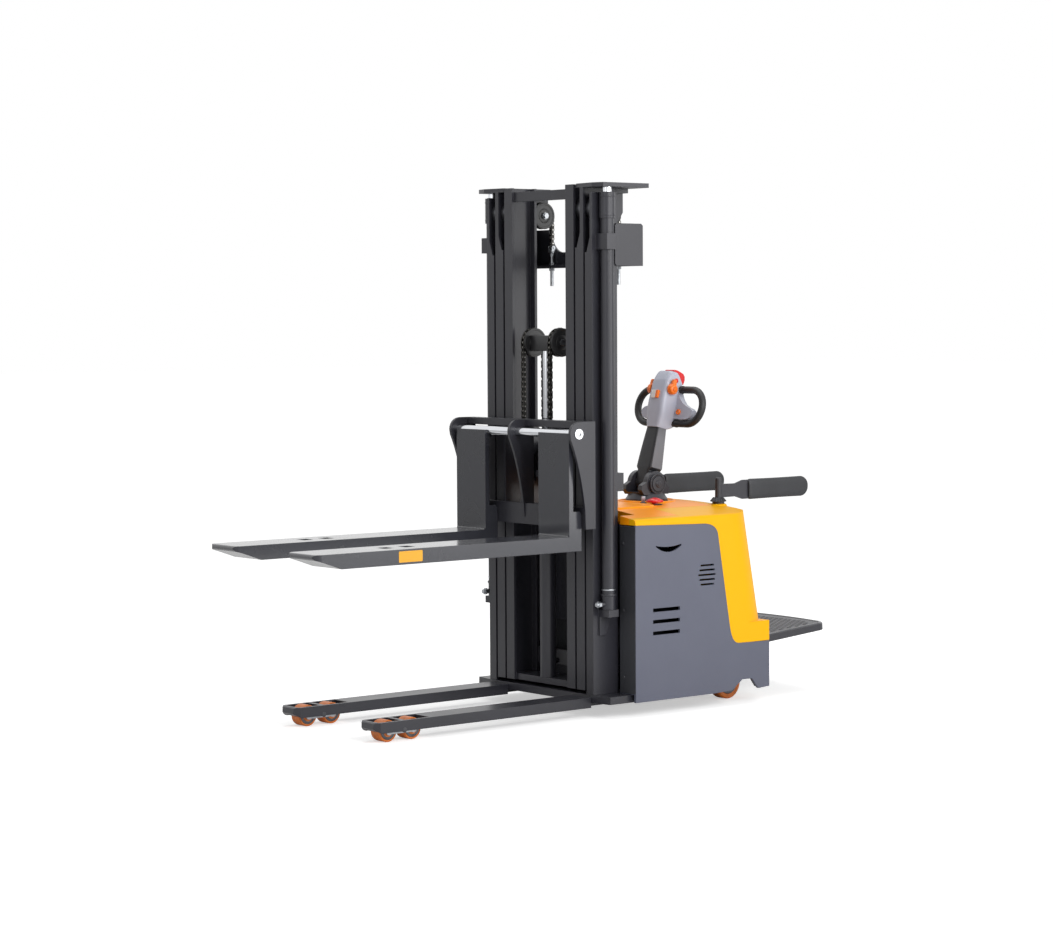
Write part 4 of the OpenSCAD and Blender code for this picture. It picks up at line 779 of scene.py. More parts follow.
    def trim(self) -> None:
        """Small red lenses at the head's shoulders."""
        piece = self.piece("tiller_head_trim", "tiller", "red_control", RED_ACETAL)
        for side in ENDS:
            lens = [(side * 45.0, 1.0), (side * 45.0, 9.0), (side * 49.5, 9.0), (side * 52.0, 6.0),
                    (side * 53.0, 1.0)]
            piece.turn(lens, Axis.X, (0.0, 18.0, self.top - 34.0), 24)
        piece.settle()

    def disc_ribs(self) -> None:
        """Ribs on the tilt joint's discs: bars at even angles, a rim and a hexagon in the middle."""
        upright = Tilt(STEER_Y, self.axis_z)
        piece = Builder("tilt_disc_ribs", "steering", "frame_paint", FRAME_COAT, tilt=upright)
        piece.ring(rounded_box((67.0, 36.5), (70.0, 40.0), 1.0, 4), Axis.X, ORIGIN, 56)
        base = rounded_box((-1.4, 31.0), (1.4, 37.0), 0.8, 3)
        for angle in np.radians(np.arange(0.0, 360.0, 12.0)):
            piece.prism(turned(base, angle), Axis.X, 67.5, 70.0)
        piece.turn([(71.0, 14.0), (74.0, 14.0), (75.5, 12.0), (75.5, 1.0)], Axis.X, ORIGIN, 32)
        piece.prism(hexagon(8.0), Axis.X, 75.0, 78.0).mirror().settle()

    def build(self) -> None:
        """Builds every piece of the tiller."""
        for part in (self.column, self.head, self.grips, self.butterfly, self.belly_switch, self.buttons,
                     self.trim, self.disc_ribs):
            part()


@dataclass(frozen=True)
class Reeving:
    """A pair of chains: up from the front anchor, over its wheels and down to the rear anchor.

    Each anchor is the body it is on and its height. last_pin is the height of the front run's lowest pin.
    """

    name: str
    wheel: Point
    radius: float
    wheel_body: str
    rear: tuple[str, float]
    front: tuple[str, float]
    last_pin: float


@dataclass
class Chains:
    """Lifting chains as link plates on rivets, in strands."""

    pitch: float = 19.05
    width: float = 16.0
    plate: float = 2.4
    plate_r: float = 7.4
    roller_r: float = 5.2
    rivet_r: float = 3.1
    rivet_out: float = 0.7
    play: float = 0.2
    inner_step: float = 0.3
    reevings: tuple[Reeving, ...] = (
        Reeving("mast_chain", (200.0, 325.0, 1915.0), 47.0, "mid_stage", ("frame", 1790.0),
                ("inner_stage", 240.0), 248.0),
        Reeving("carriage_chain", (80.0, 178.0, 1420.0), 50.0, "lift_head", ("inner_stage", 1040.0),
                ("carriage", 812.0), 812.0))

    def link_faces(self, rings: int, sides: int) -> list:
        """Faces of many prisms whose points come as two loops each.

        Args:
            rings: Number of prisms.
            sides: Points in a loop.

        Returns:
            Side quads and both end faces of every prism.
        """
        start = (np.arange(rings) * 2 * sides)[:, None]
        here = np.arange(sides)[None, :]
        following = (here + 1) % sides
        far = start + sides
        quads = np.stack([start + here, start + following, far + following, far + here], axis=-1)
        return quads.reshape(-1, 4).tolist() + (start + here[:, ::-1]).tolist() + (far + here).tolist()

    def plates(self, into: Builder, pins: np.ndarray, x: float, sides: tuple[float, ...], start: int,
               radius: float) -> None:
        """Adds the link plates between every second pair of pins: an outline of two arcs round the pins,
        turned to the line between them and set at the given distances from the chain's middle.

        Args:
            into: The piece.
            pins: Pin centres as Y and Z.
            x: The chain's middle.
            sides: Lower X of each plate, from the middle.
            start: First pin of the first link.
            radius: Radius of the plate's round ends.
        """
        first, second = pins[start:-1:2], pins[start + 1::2]
        count = min(len(first), len(second))
        first, second = first[:count], second[:count]
        along = second - first
        length = np.linalg.norm(along, axis=1, keepdims=True)
        along = along / length
        across = np.stack([-along[:, 1], along[:, 0]], axis=1)
        outline = np.concatenate([arc((0.0, 0.0), radius, 60.0, 300.0, 8),
                                  arc((0.0, 0.0), radius, -120.0, 120.0, 8)])
        flat = np.repeat([0.0, 1.0], 8)[None, :, None] * length[:, :, None]
        places = (first[:, None, :] + (outline[None, :, 0:1] + flat) * along[:, None, :]
                  + outline[None, :, 1:2] * across[:, None, :])
        for side in sides:
            depth = np.array([side, side + self.plate])[None, :, None] + x
            points = spread(depth, places[:, None, :, 0], places[:, None, :, 1], Axis.X)
            into.add(points, self.link_faces(count, 16))

    def rivets(self, into: Builder, pins: np.ndarray, x: float, radius: float, half: float) -> None:
        """Adds a round bar through every pin, as a circle of twelve points at both ends.

        Args:
            into: The piece.
            pins: Pin centres as Y and Z.
            x: The chain's middle.
            radius: Radius of the bar.
            half: Half its length.
        """
        depth = np.array([-half, half])[None, :, None] + x
        places = pins[:, None, None, :] + arc((0.0, 0.0), radius, 0.0, 330.0, 12)[None, None, :, :]
        into.add(spread(depth, places[..., 0], places[..., 1], Axis.X), self.link_faces(len(pins), 12), 1)

    def strands(self, name: str, body: str, x: float, pins: np.ndarray, node: str = "") -> Builder:
        """Draws one run of chain at both sides of the middle: outer and inner plates, rollers and rivets.

        Args:
            name: The piece's name.
            body: The body it rides on, or both bodies between which a run stretches.
            x: Distance from the middle.
            pins: Pin centres as Y and Z.
            node: The CAD node that it stands for, or nothing.

        Returns:
            The piece.
        """
        piece = Builder(name, body, "chain_steel", CHAIN_STEEL, RIVET_STEEL, node=node)
        half = self.width / 2.0
        inner = half - self.plate - self.play
        for middle in (x, -x):
            self.plates(piece, pins, middle, (-half, half - self.plate), 0, self.plate_r)
            self.plates(piece, pins, middle, (-inner, inner - self.plate), 1,
                        self.plate_r - self.inner_step)
            self.rivets(piece, pins, middle, self.roller_r, inner - self.plate - self.inner_step)
            self.rivets(piece, pins, middle, self.rivet_r, half + self.rivet_out)
        return piece

    def run(self, reeving: Reeving, end: str, y: float, anchor: tuple[str, float], low: float,
            node: str = "") -> None:
        """Builds a straight run that stretches between two bodies, its pins spaced by about one pitch.

        Args:
            reeving: The pair of chains.
            end: Which end of the chain it is, for the name.
            y: The run's place.
            anchor: Body and height of its lower end.
            low: Height of its lowest pin.
            node: The CAD node that it stands for, or nothing.
        """
        (body, foot), top = anchor, reeving.wheel[2]
        count = max(1, round((top - low) / self.pitch))
        pins = np.stack([np.full(count + 1, y), np.linspace(top, low, count + 1)], axis=1)
        piece = self.strands(f"{reeving.name}_{end}_run", f"{body} to {reeving.wheel_body}",
                             reeving.wheel[0], pins, node).make()
        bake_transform(piece)

    def build(self) -> None:
        """Builds each pair's half turn over the wheel, pins at even angles, and its two straight runs."""
        for reeving in self.reevings:
            x, y, z = reeving.wheel
            radius, name = reeving.radius, reeving.name
            count = max(4, int(math.pi * radius / self.pitch))
            wrap = arc((y, z), radius, 180.0, 0.0, count + 1)
            self.strands(name + "_wrap", reeving.wheel_body, x, wrap, name + "_rear").settle()
            self.run(reeving, "rear", y + radius, reeving.rear, reeving.rear[1])
            self.run(reeving, "front", y - radius, reeving.front, reeving.last_pin, name + "_front")


@dataclass
class Anchors:
    """Clevises that hold the ends of the lifting chains."""

    pin_r: float = 4.2
    pin_half: float = 14.5
    cheek: float = 3.0
    inner: float = 8.9
    reach: float = 8.5

    def clevis(self, into: Builder, x: float, y: float, z: float) -> None:
        """Adds two round-topped cheeks, a pin and a foot plate round a chain's end pin.

        Args:
            into: The piece.
            x: Middle of the chain.
            y: The chain's run.
            z: Height of the end pin.
        """
        foot = [[y - self.reach, z - 15.0], [y + self.reach, z - 15.0]]
        cheek = np.concatenate([arc((y, z), self.reach, 0.0, 180.0, 10), foot])
        for side in (self.inner, -self.inner - self.cheek):
            into.prism(cheek, Axis.X, x + side, x + side + self.cheek)
        half = self.pin_half
        into.turn([(-half, 1.0), (-half, 3.6), (0.7 - half, self.pin_r), (half - 0.7, self.pin_r),
                   (half, 3.6), (half, 1.0)], Axis.X, (x, y, z), 20)
        plate = rounded_box((x - 12.0, y - self.reach), (x + 12.0, y + self.reach), 2.0, 3)
        into.prism(plate, Axis.Z, z - 20.0, z - 14.0)

    def build(self) -> None:
        """Builds the three pairs of clevises."""
        for name, body, place in (("mast_rear_clevises", "frame", (200.0, 372.0, 1790.0)),
                                  ("inner_rear_clevises", "inner_stage", (80.0, 228.0, 1040.0)),
                                  ("carriage_clevises", "carriage", (80.0, 128.0, 812.0))):
            piece = Builder(name, body, "zinc_steel", ZINC)
            self.clevis(piece, *place)
            piece.mirror().settle()


@dataclass
class Hardware:
    """Nuts, caps, rings and fittings on the steelwork."""

    pulley: Point = (200.0, 325.0, 1915.0)
    crosshead: Point = (80.0, 178.0, 1420.0)
    shaft_end: Point = (369.0, 25.5, 1081.5)
    cylinder: Point = (345.0, 190.0, 0.0)
    port: Point = (345.0, 0.0, 433.0)
    roller_y: float = 201.5
    outer_x: float = 262.5
    mid_x: float = 205.5
    wheel_half: float = 12.0
    top_z: float = 1925.0
    low_z: float = 190.0

    def axle_ends(self) -> None:
        """Turned caps on the fork shaft's ends, and nuts on the axles of pulleys and crosshead wheels."""
        cap = [(0.2, 1.0), (0.2, 19.0), (2.0, 20.0), (3.6, 19.0), (3.6, 14.5), (2.6, 13.5), (2.6, 5.0),
               (3.2, 4.0), (3.2, 1.0)]
        piece = Builder("fork_shaft_caps", "carriage", "chrome_rod", CHROME)
        piece.turn(cap, Axis.X, self.shaft_end, 48).mirror().settle()
        piece = Builder("mast_pulley_nuts", "mid_stage", "zinc_steel", ZINC)
        Fastener(20.0, 8.0).lay(piece, (184.0, *self.pulley[1:]), -1.0)
        piece.mirror().settle()
        piece = Builder("crosshead_nuts", "lift_head", "roller_steel", ROLLER_STEEL)
        Fastener(20.0, 7.0).lay(piece, (95.0, *self.crosshead[1:]), 1.0)
        piece.mirror().settle()

    def crosshead_shell(self) -> None:
        """Blacked casting round the crosshead's block."""
        _, y, z = self.crosshead
        outline = rounded_box((y - 27.0, z - 33.0), (y + 27.0, z + 27.0), 3.0)
        piece = Builder("crosshead_shell", "lift_head", "frame_paint", WHEEL_IRON)
        piece.prism(outline, Axis.X, -65.3, 65.3).settle()

    def wheel_faces(self) -> None:
        """Raised hub and raised rim on each face of the chain wheels."""
        wheels = (("mast_pulley_faces", "mast_pulleys", self.pulley, 50.0),
                  ("crosshead_wheel_faces", "crosshead_wheels", self.crosshead, 53.0))
        for name, body, centre, radius in wheels:
            piece = Builder(name, body, "roller_steel", WHEEL_IRON)
            for side in ENDS:
                face = side * self.wheel_half
                rim = raised(face, side * 1.4, (radius - 7.0, radius - 6.0, radius - 1.0, radius))
                piece.ring(rim, Axis.X, centre, 56)
                piece.ring(raised(face, side * 0.9, (13.0, 13.0, 27.0, 29.0)), Axis.X, centre, 48)
            piece.mirror().settle()

    def roller_rings(self) -> None:
        """Bearing seal and circlip on the inner face of each mast roller."""
        rollers = (("outer_top_roller", self.outer_x, self.top_z),
                   ("mid_top_roller", self.mid_x, self.top_z),
                   ("mid_lower_roller", self.outer_x, self.low_z),
                   ("inner_lower_roller", self.mid_x, self.low_z))
        for name, x, z in rollers:
            piece = Builder(name + "_rings", name + "s", "roller_steel", ROLLER_STEEL)
            piece.ring(rounded_box((-1.0, 14.0), (2.0, 24.0), 0.6, 3), Axis.X, (x, self.roller_y, z))
            piece.ring(rounded_box((-1.6, 26.0), (0.6, 28.5), 0.5, 3), Axis.X, (x, self.roller_y, z))
            piece.mirror().settle()

    def cylinder_fittings(self) -> None:
        """Oil fittings at the feet of the side cylinders: a hexagon and a plug on the port."""
        piece = Builder("cylinder_fittings", "frame", "zinc_steel", ZINC)
        piece.prism(hexagon(12.5, (self.port[2], self.port[0])), Axis.Y, 136.0, 149.0)
        plug = [(136.0, 1.0), (136.0, 9.0), (130.0, 9.0), (128.0, 7.0), (128.0, 1.0)]
        piece.turn(plug, Axis.Y, self.port, 28).mirror().settle()

    def gland_rings(self) -> None:
        """Rings round each side cylinder: two on the gland, one at the clamp, a bright one at the foot."""
        piece = Builder("gland_rings", "frame", "frame_paint", FRAME_COAT, ZINC)
        for low, high, hole, rim, radius, finish in ((1896.0, 1902.0, 28.6, 30.4, 0.8, 0),
                                                     (1966.0, 1972.0, 28.6, 30.4, 0.8, 0),
                                                     (464.0, 472.0, 25.0, 29.4, 1.5, 0),
                                                     (485.0, 490.0, 24.0, 26.6, 1.0, 1)):
            piece.ring(rounded_box((low, hole), (high, rim), radius, 3), Axis.Z, self.cylinder, 48, finish)
        piece.mirror().settle()

    def build(self) -> None:
        """Builds all the hardware."""
        for part in (self.axle_ends, self.crosshead_shell, self.wheel_faces, self.roller_rings,
                     self.cylinder_fittings, self.gland_rings):
            part()


@dataclass
class Body:
    """Trim of the body: raised frame on the lid, painted shade on the front folds, collars and stop button.

    The deck gives its half width, front and back, and the collar its two half widths.
    """

    crown_half: float = 385.0
    crown_edge: float = 756.0
    crown_rise: float = 30.0
    panel_front: float = 256.0
    screw_heights: tuple[float, ...] = (150.0, 405.0, 660.0)
    band_half: float = 8.0
    band_rise: float = 6.0
    deck: Point = (205.0, 290.0, 560.0)
    collar: tuple[float, float] = (112.0, 108.0)
    stop: Point = (150.0, 600.0, 0.0)
    key: Point = (105.0, 580.0, 0.0)
    post: Point = (247.0, 850.0, 0.0)

    def crown(self, x: np.ndarray) -> np.ndarray:
        """Height of the lid: the edge's plus the rise times one minus the square of x by the half width."""
        return self.crown_edge + self.crown_rise * (1.0 - (x / self.crown_half) ** 2)

    def band(self, outline: np.ndarray, lift: float) -> np.ndarray:
        """A rounded band that follows an outline on the crown: part of an ellipse across the outline.

        Args:
            outline: Closed outline in X and Y.
            lift: Height of the band's foot over the crown.

        Returns:
            Points along the outline and across the band.
        """
        following = np.roll(outline, -1, axis=0) - np.roll(outline, 1, axis=0)
        following /= np.linalg.norm(following, axis=1, keepdims=True)
        normal = np.stack([following[:, 1], -following[:, 0]], axis=1)
        angle = np.radians(np.linspace(-30.0, 210.0, 12))[None, :]
        across, high = self.band_half * np.cos(angle), self.band_rise * np.sin(angle)
        x = outline[:, 0:1] + normal[:, 0:1] * across
        y = outline[:, 1:2] + normal[:, 1:2] * across
        return np.stack([x, y, self.crown(x) + lift + high], axis=-1)

    def lid(self) -> None:
        """Mouldings of the lid: a band with a low deck inside it that dips by a sine towards its edge, and
        the collar round the tiller's base, a band on an ellipse."""
        piece = Builder("lid_raised_deck", "frame", "hood_plastic", HOOD_ABS)
        half, front, back = self.deck
        outline = rounded_box((-half, front), (half, back), 40.0, 10)
        piece.grid(self.band(outline, 0.0), True)
        rows = np.linspace(0.0, 1.0, 12)[:, None]
        middle = outline.mean(axis=0)[None, :]
        ring = middle[None] + (outline[None] - middle[None]) * (1.0 - rows[:, :, None] * 0.98)
        lift = 3.0 + 2.2 * np.sin(np.minimum(rows * 6.0, 1.0) * np.pi / 2.0)
        top = np.stack([ring[..., 0], ring[..., 1], self.crown(ring[..., 0]) + lift - 3.2], axis=-1)
        base = top - np.array([0.0, 0.0, 6.0])
        piece.grid(np.concatenate([base[::-1], top])).settle()
        angle = whole_turn(72)
        wide, deep = self.collar
        outline = np.stack([wide * np.cos(angle), STEER_Y + deep * np.sin(angle)], axis=1)
        piece = Builder("lid_tiller_collar", "frame", "hood_plastic", HOOD_ABS)
        piece.grid(self.band(outline, -1.0), True).settle()

    def front_folds(self) -> None:
        """Thin plates in the coat of painted shade over the panels' front folds, with the screws that hold
        them.
        """
        # These plates paint the shade that lies on the folds
        piece = Builder("front_fold_painted_shade", "frame", "frame_paint", PAINTED_SHADE_COAT)
        front = self.panel_front
        piece.prism(rounded_box((90.0, 337.0), (724.0, 423.0), 3.0, 3), Axis.Y, front - 0.9, front + 0.4)
        screw = [(front - 0.6, 5.5), (front - 3.2, 5.0), (front - 3.8, 3.0), (front - 2.4, 2.6),
                 (front - 2.4, 0.5)]
        for height in self.screw_heights:
            piece.turn(screw, Axis.Y, (356.0, 0.0, height), 20)
        piece.mirror().settle()

    def controls(self) -> None:
        """Emergency stop, a wide shallow arc over a rolled rim, and the collars under it and the key."""
        crown = arc((0.0, 760.0), 48.0, 90.0, 48.0, 10)
        profile = [(762.0, 1.0), (762.0, 12.0), (789.0, 12.0), (789.4, 31.0), (791.5, 33.6), (795.0, 34.0),
                   (798.5, 33.0)]
        profile += [(z, x) for x, z in crown[::-1][1:-1]] + [(808.0, 1.0)]
        piece = Builder("emergency_stop_mushroom", "emergency_stop", "red_control", RED_ACETAL,
                        node="emergency_stop")
        piece.turn(profile, Axis.Z, self.stop, 48).settle()
        piece = Builder("control_collars", "frame", "column_plastic", COLUMN_NYLON)
        piece.ring(rounded_box((774.0, 12.5), (782.6, 30.0), 2.0, 4), Axis.Z, self.stop)
        piece.ring(rounded_box((778.0, 6.5), (788.0, 13.0), 1.5, 4), Axis.Z, self.key, 32).settle()

    def post_collars(self) -> None:
        """Moulded yellow collars round the arm posts: a ring with a rounded shoulder."""
        section = [[764.0, 14.0], [776.8, 14.0], [777.6, 15.5], [777.6, 27.0], [776.0, 31.0], [771.0, 34.5],
                   [764.0, 37.0]]
        piece = Builder("post_collars", "frame", "cover_plastic", COVER_ABS)
        piece.ring(np.array(section), Axis.Z, self.post, 48).mirror().settle()

    def build(self) -> None:
        """Builds the body's trim."""
        for part in (self.lid, self.front_folds, self.controls, self.post_collars):
            part()


@dataclass
class Arms:
    """Padded side arms: crowned pads and ribbed clamping knobs, each rib's ends by radius and height."""

    x: float = 247.0
    y: float = 850.0
    pad_front: float = 1009.0
    pad_length: float = 333.0
    pad_low: float = 787.0
    pad_height: float = 82.0
    thick: float = 32.0
    rib_foot: tuple[float, float] = (31.0, 787.2)
    rib_top: tuple[float, float] = (18.5, 801.6)
    rib_r: float = 2.4

    def pad(self, side: float, name: str) -> None:
        """Arm pad: rings along Y whose half height follows a rounded end, drawn in a little between the
        ends, and whose half thickness is crowned by a sine, with a superellipse across and a seam pressed
        in by a bell curve.

        Args:
            side: One for +X.
            name: The name of the arm.
        """
        piece = Builder(name + "_pad_foam", name, "pad_rubber", PAD_SKIN, node=name + "_pad")
        reach, radius = self.pad_length, self.pad_height / 2.0
        start = np.concatenate([[0.0, 0.6, 1.8, 4.0, 7.5], np.linspace(12.0, reach - radius, 40)])
        ending = reach - radius + radius * np.sin(np.radians(np.linspace(4.0, 90.0, 26)))
        along = np.concatenate([start, ending])
        share = ((along - (reach - radius)) / radius).clip(0.0, 1.0)
        rounding = np.sqrt(np.clip(1.0 - share ** 2, 0.0004, 1.0))
        near = 1.0 - 0.16 * np.sqrt(np.clip(1.0 - (along / 8.0).clip(0.0, 1.0), 0.0, 1.0))
        waist = 1.2 * np.sin(np.pi * (along / reach).clip(0.0, 1.0))
        high = (radius - waist) * rounding * near
        crown = (self.thick / 2.0) * (0.90 + 0.10 * np.sin(np.pi * (along / reach)))
        wide = crown * np.sqrt(rounding) * near
        angle = whole_turn(56)[None, :]
        seam = 1.0 - 0.055 * np.exp(-((np.abs(np.sin(angle)) - 0.97) / 0.02) ** 2)
        x = side * self.x + wide[:, None] * squared(np.cos(angle), 2.7) * seam
        z = self.pad_low + radius + high[:, None] * squared(np.sin(angle), 4.2)
        made = piece.grid(spread(x, (self.pad_front + along)[:, None], z, Axis.X)).make(smooth=60.0)
        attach(made, name)

    def knob(self, side: float, name: str) -> None:
        """Clamping knob with finger ribs: a ring of rounded bars round the cone, and the post's end cap.

        Args:
            side: One for +X.
            name: The name of the arm.
        """
        piece = Builder(name + "_knob_ribs", name, "column_plastic", COLUMN_NYLON)
        centre = np.array([side * self.x, self.y, 0.0])
        for angle in np.radians(np.arange(0.0, 360.0, 22.5)):
            c, s = math.cos(angle), math.sin(angle)
            low, high = (centre + np.array([r * c, r * s, z]) for r, z in (self.rib_foot, self.rib_top))
            path = low[None] + (high - low)[None] * np.linspace(0.0, 1.0, 4)[:, None]
            piece.sweep(path, arc((0.0, 0.0), self.rib_r, 0.0, 315.0, 8), (-s, c, 0.0))
        cap = [(875.0, 1.0), (875.0, 12.6), (877.5, 12.6), (879.5, 10.0), (880.0, 1.0)]
        piece.turn(cap, Axis.Z, tuple(centre), 32).settle()

    def build(self) -> None:
        """Builds both arms."""
        for side, name in SIDES:
            self.pad(side, name + "_arm")
            self.knob(side, name + "_arm")


@dataclass
class Platform:
    """Platform dressing: rubber mat with round studs, and a rolled rim."""

    hinge_y: float = 965.0
    pivot_z: float = 235.0
    rise: float = 4.5
    half: float = 335.0
    front: float = 987.0
    back: float = 1398.0
    top: float = 240.0
    pitch: float = 26.0
    row_share: float = 0.87
    corner_x: float = 280.0
    bow_x: float = 274.0
    bow: float = 19.0
    stud_start: float = 34.0
    side_margin: float = 36.0
    rear_margin: float = 44.0
    corner_margin: float = 30.0
    corner_back: float = 82.0
    mat_inset: float = 20.0
    rim_inset: float = 9.0
    rim_r: float = 7.5

    def piece(self, name: str, slot: str, finish: Finish) -> Builder:
        """Starts a piece in the platform's own frame, raised about the hinge."""
        return Builder(name, "platform", slot, finish, tilt=Tilt(self.hinge_y, self.pivot_z, self.rise))

    def outline(self, inset: float) -> np.ndarray:
        """Plan of the platform drawn in by an inset: straight sides, round corners and a rear edge that
        bows as a curve of (1 - t)^2, 2 t (1 - t) and t^2 times its three points.

        Args:
            inset: How far it is drawn in.

        Returns:
            The outline from the hinge, in X and Y.
        """
        back = self.back - inset
        corner = arc((self.corner_x, self.back - 68.0), 50.0 - inset, 8.0, 72.0, 9)
        t = np.linspace(0.0, 1.0, 9)[:, None]
        first, second, third = [[self.bow_x, back - self.bow]], [[140.0, back]], [[0.0, back]]
        bowed = ((1 - t) ** 2 * np.array(first) + 2 * t * (1 - t) * np.array(second)
                 + t ** 2 * np.array(third))
        right = np.concatenate([[[self.half - inset, self.front + inset]], corner, bowed])
        line = np.concatenate([right, right[::-1][1:] * np.array([-1.0, 1.0])])
        return line - np.array([0.0, self.hinge_y])

    def studs(self) -> np.ndarray:
        """Centres of the studs: a staggered grid, kept where it lies inside the mat's outline.

        Returns:
            Rows of X and Y from the hinge.
        """
        row = self.pitch * self.row_share
        rows = np.arange(int(2 * self.half / self.pitch) + 2)
        columns = np.arange(int((self.back - self.front) / row) + 2)
        x, y = np.meshgrid((rows - rows.mean()) * self.pitch,
                           self.front + self.stud_start + columns * self.pitch * self.row_share,
                           indexing="ij")
        x = x + (columns[None, :] % 2) * self.pitch / 2.0
        edge = self.back - self.rear_margin - self.bow * (np.abs(x) / self.bow_x) ** 2
        inside = (np.abs(x) < self.half - self.side_margin) & (y < edge)
        corner_x, corner_y = self.corner_x - self.corner_margin, self.back - self.corner_back
        off = (np.abs(x) > corner_x) & (y > corner_y)
        inside &= ~(off & (np.hypot(np.abs(x) - corner_x, y - corner_y) > self.corner_margin))
        return np.stack([x[inside], y[inside] - self.hinge_y], axis=1)

    def mat(self) -> None:
        """Mat with a dome on every stud centre: three rings of eight points, the last one capped."""
        low = self.top - self.pivot_z
        piece = self.piece("platform_mat", "grip_rubber", MAT_RUBBER)
        piece.prism(self.outline(self.mat_inset), Axis.Z, low - 1.0, low + 2.6)
        centres = self.studs()
        angle = np.radians(np.arange(0.0, 360.0, 45.0))
        radius = np.array([9.0, 8.2, 4.6])[:, None]
        high = np.array([low + 2.0, low + 4.4, low + 5.6])[:, None]
        dome = spread(high, radius * np.cos(angle), radius * np.sin(angle), Axis.Z)
        points = np.zeros((len(centres), 3, 8, 3))
        points[..., :2] = centres[:, None, None, :]
        number = np.arange(len(centres) * 24).reshape(len(centres), 3, 8)
        loops = np.concatenate([number, number[:, :, :1]], axis=2)
        corners = [loops[:, :-1, :-1], loops[:, :-1, 1:], loops[:, 1:, 1:], loops[:, 1:, :-1]]
        quads = np.stack(corners, axis=-1)
        faces = quads.reshape(-1, 4).tolist() + number[:, 2].tolist() + number[:, 0, ::-1].tolist()
        piece.add(points + dome[None], faces).settle(smooth=50.0)

    def rim(self) -> None:
        """Rolled rim: a round bar along the platform's outline, held inside its edge."""
        line = self.outline(self.rim_inset)
        path = np.concatenate([line, np.full((len(line), 1), self.top - self.pivot_z - 2.0)], axis=1)
        # The rim takes the forks' coat with its painted sheen
        piece = self.piece("platform_rim", "frame_paint", FORK_SHEEN_COAT)
        section = arc((0.0, 0.0), self.rim_r, 0.0, 337.5, 16)
        piece.sweep(path, section, (0.0, 0.0, 1.0), True).settle(smooth=60.0)

    def build(self) -> None:
        """Builds the mat and the rim."""
        self.mat()
        self.rim()


@dataclass
class Wheels:
    """Hubs, bearings and nuts on the load rollers, castors and drive wheel."""

    roller_y: tuple[float, float] = (-799.0, -691.0)
    roller_z: float = 40.0
    roller_face: float = 25.6
    castor_x: float = 243.0
    castor_y: float = 850.0
    castor_axle: tuple[float, float] = (885.75, 65.0)
    drive_centre: Point = (0.0, 690.0, 115.0)
    drive_face: float = -37.5
    nut_circle: float = 48.0
    hub_rise: float = 3.0
    castor_face: float = 23.0
    castor_nut: float = 33.0

    def load_rollers(self) -> None:
        """Steel side discs with a bearing on each load roller."""
        for side, leg in SIDES:
            for y, place in zip(self.roller_y, ("front", "rear")):
                name = f"{leg}_{place}"
                piece = Builder(name + "_roller_hub", name + "_load_roller", "roller_steel", ROLLER_STEEL)
                for end in ENDS:
                    section = raised(end * self.roller_face, end * 1.6, (21.0, 21.5, 31.0, 33.0))
                    piece.ring(section, Axis.X, (side * LEG_X, y, self.roller_z))
                piece.settle()

    def castors(self) -> None:
        """Axle nuts and swivel race of each castor, and the hub of its wheel."""
        for side, name in SIDES:
            x = side * self.castor_x
            piece = Builder(name + "_castor_nuts", name + "_castor_fork", "zinc_steel", ZINC)
            hub = Builder(name + "_castor_hub", name + "_castor_wheel", "roller_steel", ROLLER_STEEL)
            for end in ENDS:
                Fastener(19.0, 6.0).lay(piece, (x + end * self.castor_nut, *self.castor_axle), end)
                section = raised(end * self.castor_face, end * 1.5, (24.0, 25.0, 44.0, 46.0))
                hub.ring(section, Axis.X, (x, *self.castor_axle))
            race = rounded_box((168.0, 26.0), (175.0, 38.5), 2.0, 3)
            piece.ring(race, Axis.Z, (x, self.castor_y, 0.0)).settle()
            hub.settle()

    def drive(self) -> None:
        """Drive wheel's hub disc with its ring of wheel nuts."""
        piece = Builder("drive_wheel_hub", "drive_wheel", "roller_steel", ROLLER_STEEL)
        section = raised(self.drive_face, -self.hub_rise, (15.0, 16.0, 70.0, 76.0))
        piece.ring(section, Axis.X, self.drive_centre, 56)
        _, y, z = self.drive_centre
        for angle in np.radians(np.arange(0.0, 360.0, 72.0)):
            across, up = self.nut_circle * math.cos(angle), self.nut_circle * math.sin(angle)
            seat = (self.drive_face - self.hub_rise, y + across, z + up)
            Fastener(17.0, 8.0).lay(piece, seat, -1.0)
        piece.settle()

    def bogie_pins(self) -> None:
        """Round heads of the bogies' pivot pins in the legs' sides."""
        # The pin heads take the same coat of painted shade
        piece = Builder("bogie_pin_heads", "frame", "frame_paint", PAINTED_SHADE_COAT)
        for end in ENDS:
            head = [(end * 54.6, 1.0), (end * 54.6, 9.5), (end * 55.6, 9.0), (end * 56.0, 7.0),
                    (end * 56.0, 1.0)]
            piece.turn(head, Axis.X, (LEG_X, -745.0, 42.0), 28)
        piece.mirror().settle()

    def build(self) -> None:
        """Builds all the wheels' fittings."""
        for part in (self.load_rollers, self.castors, self.drive, self.bogie_pins):
            part()


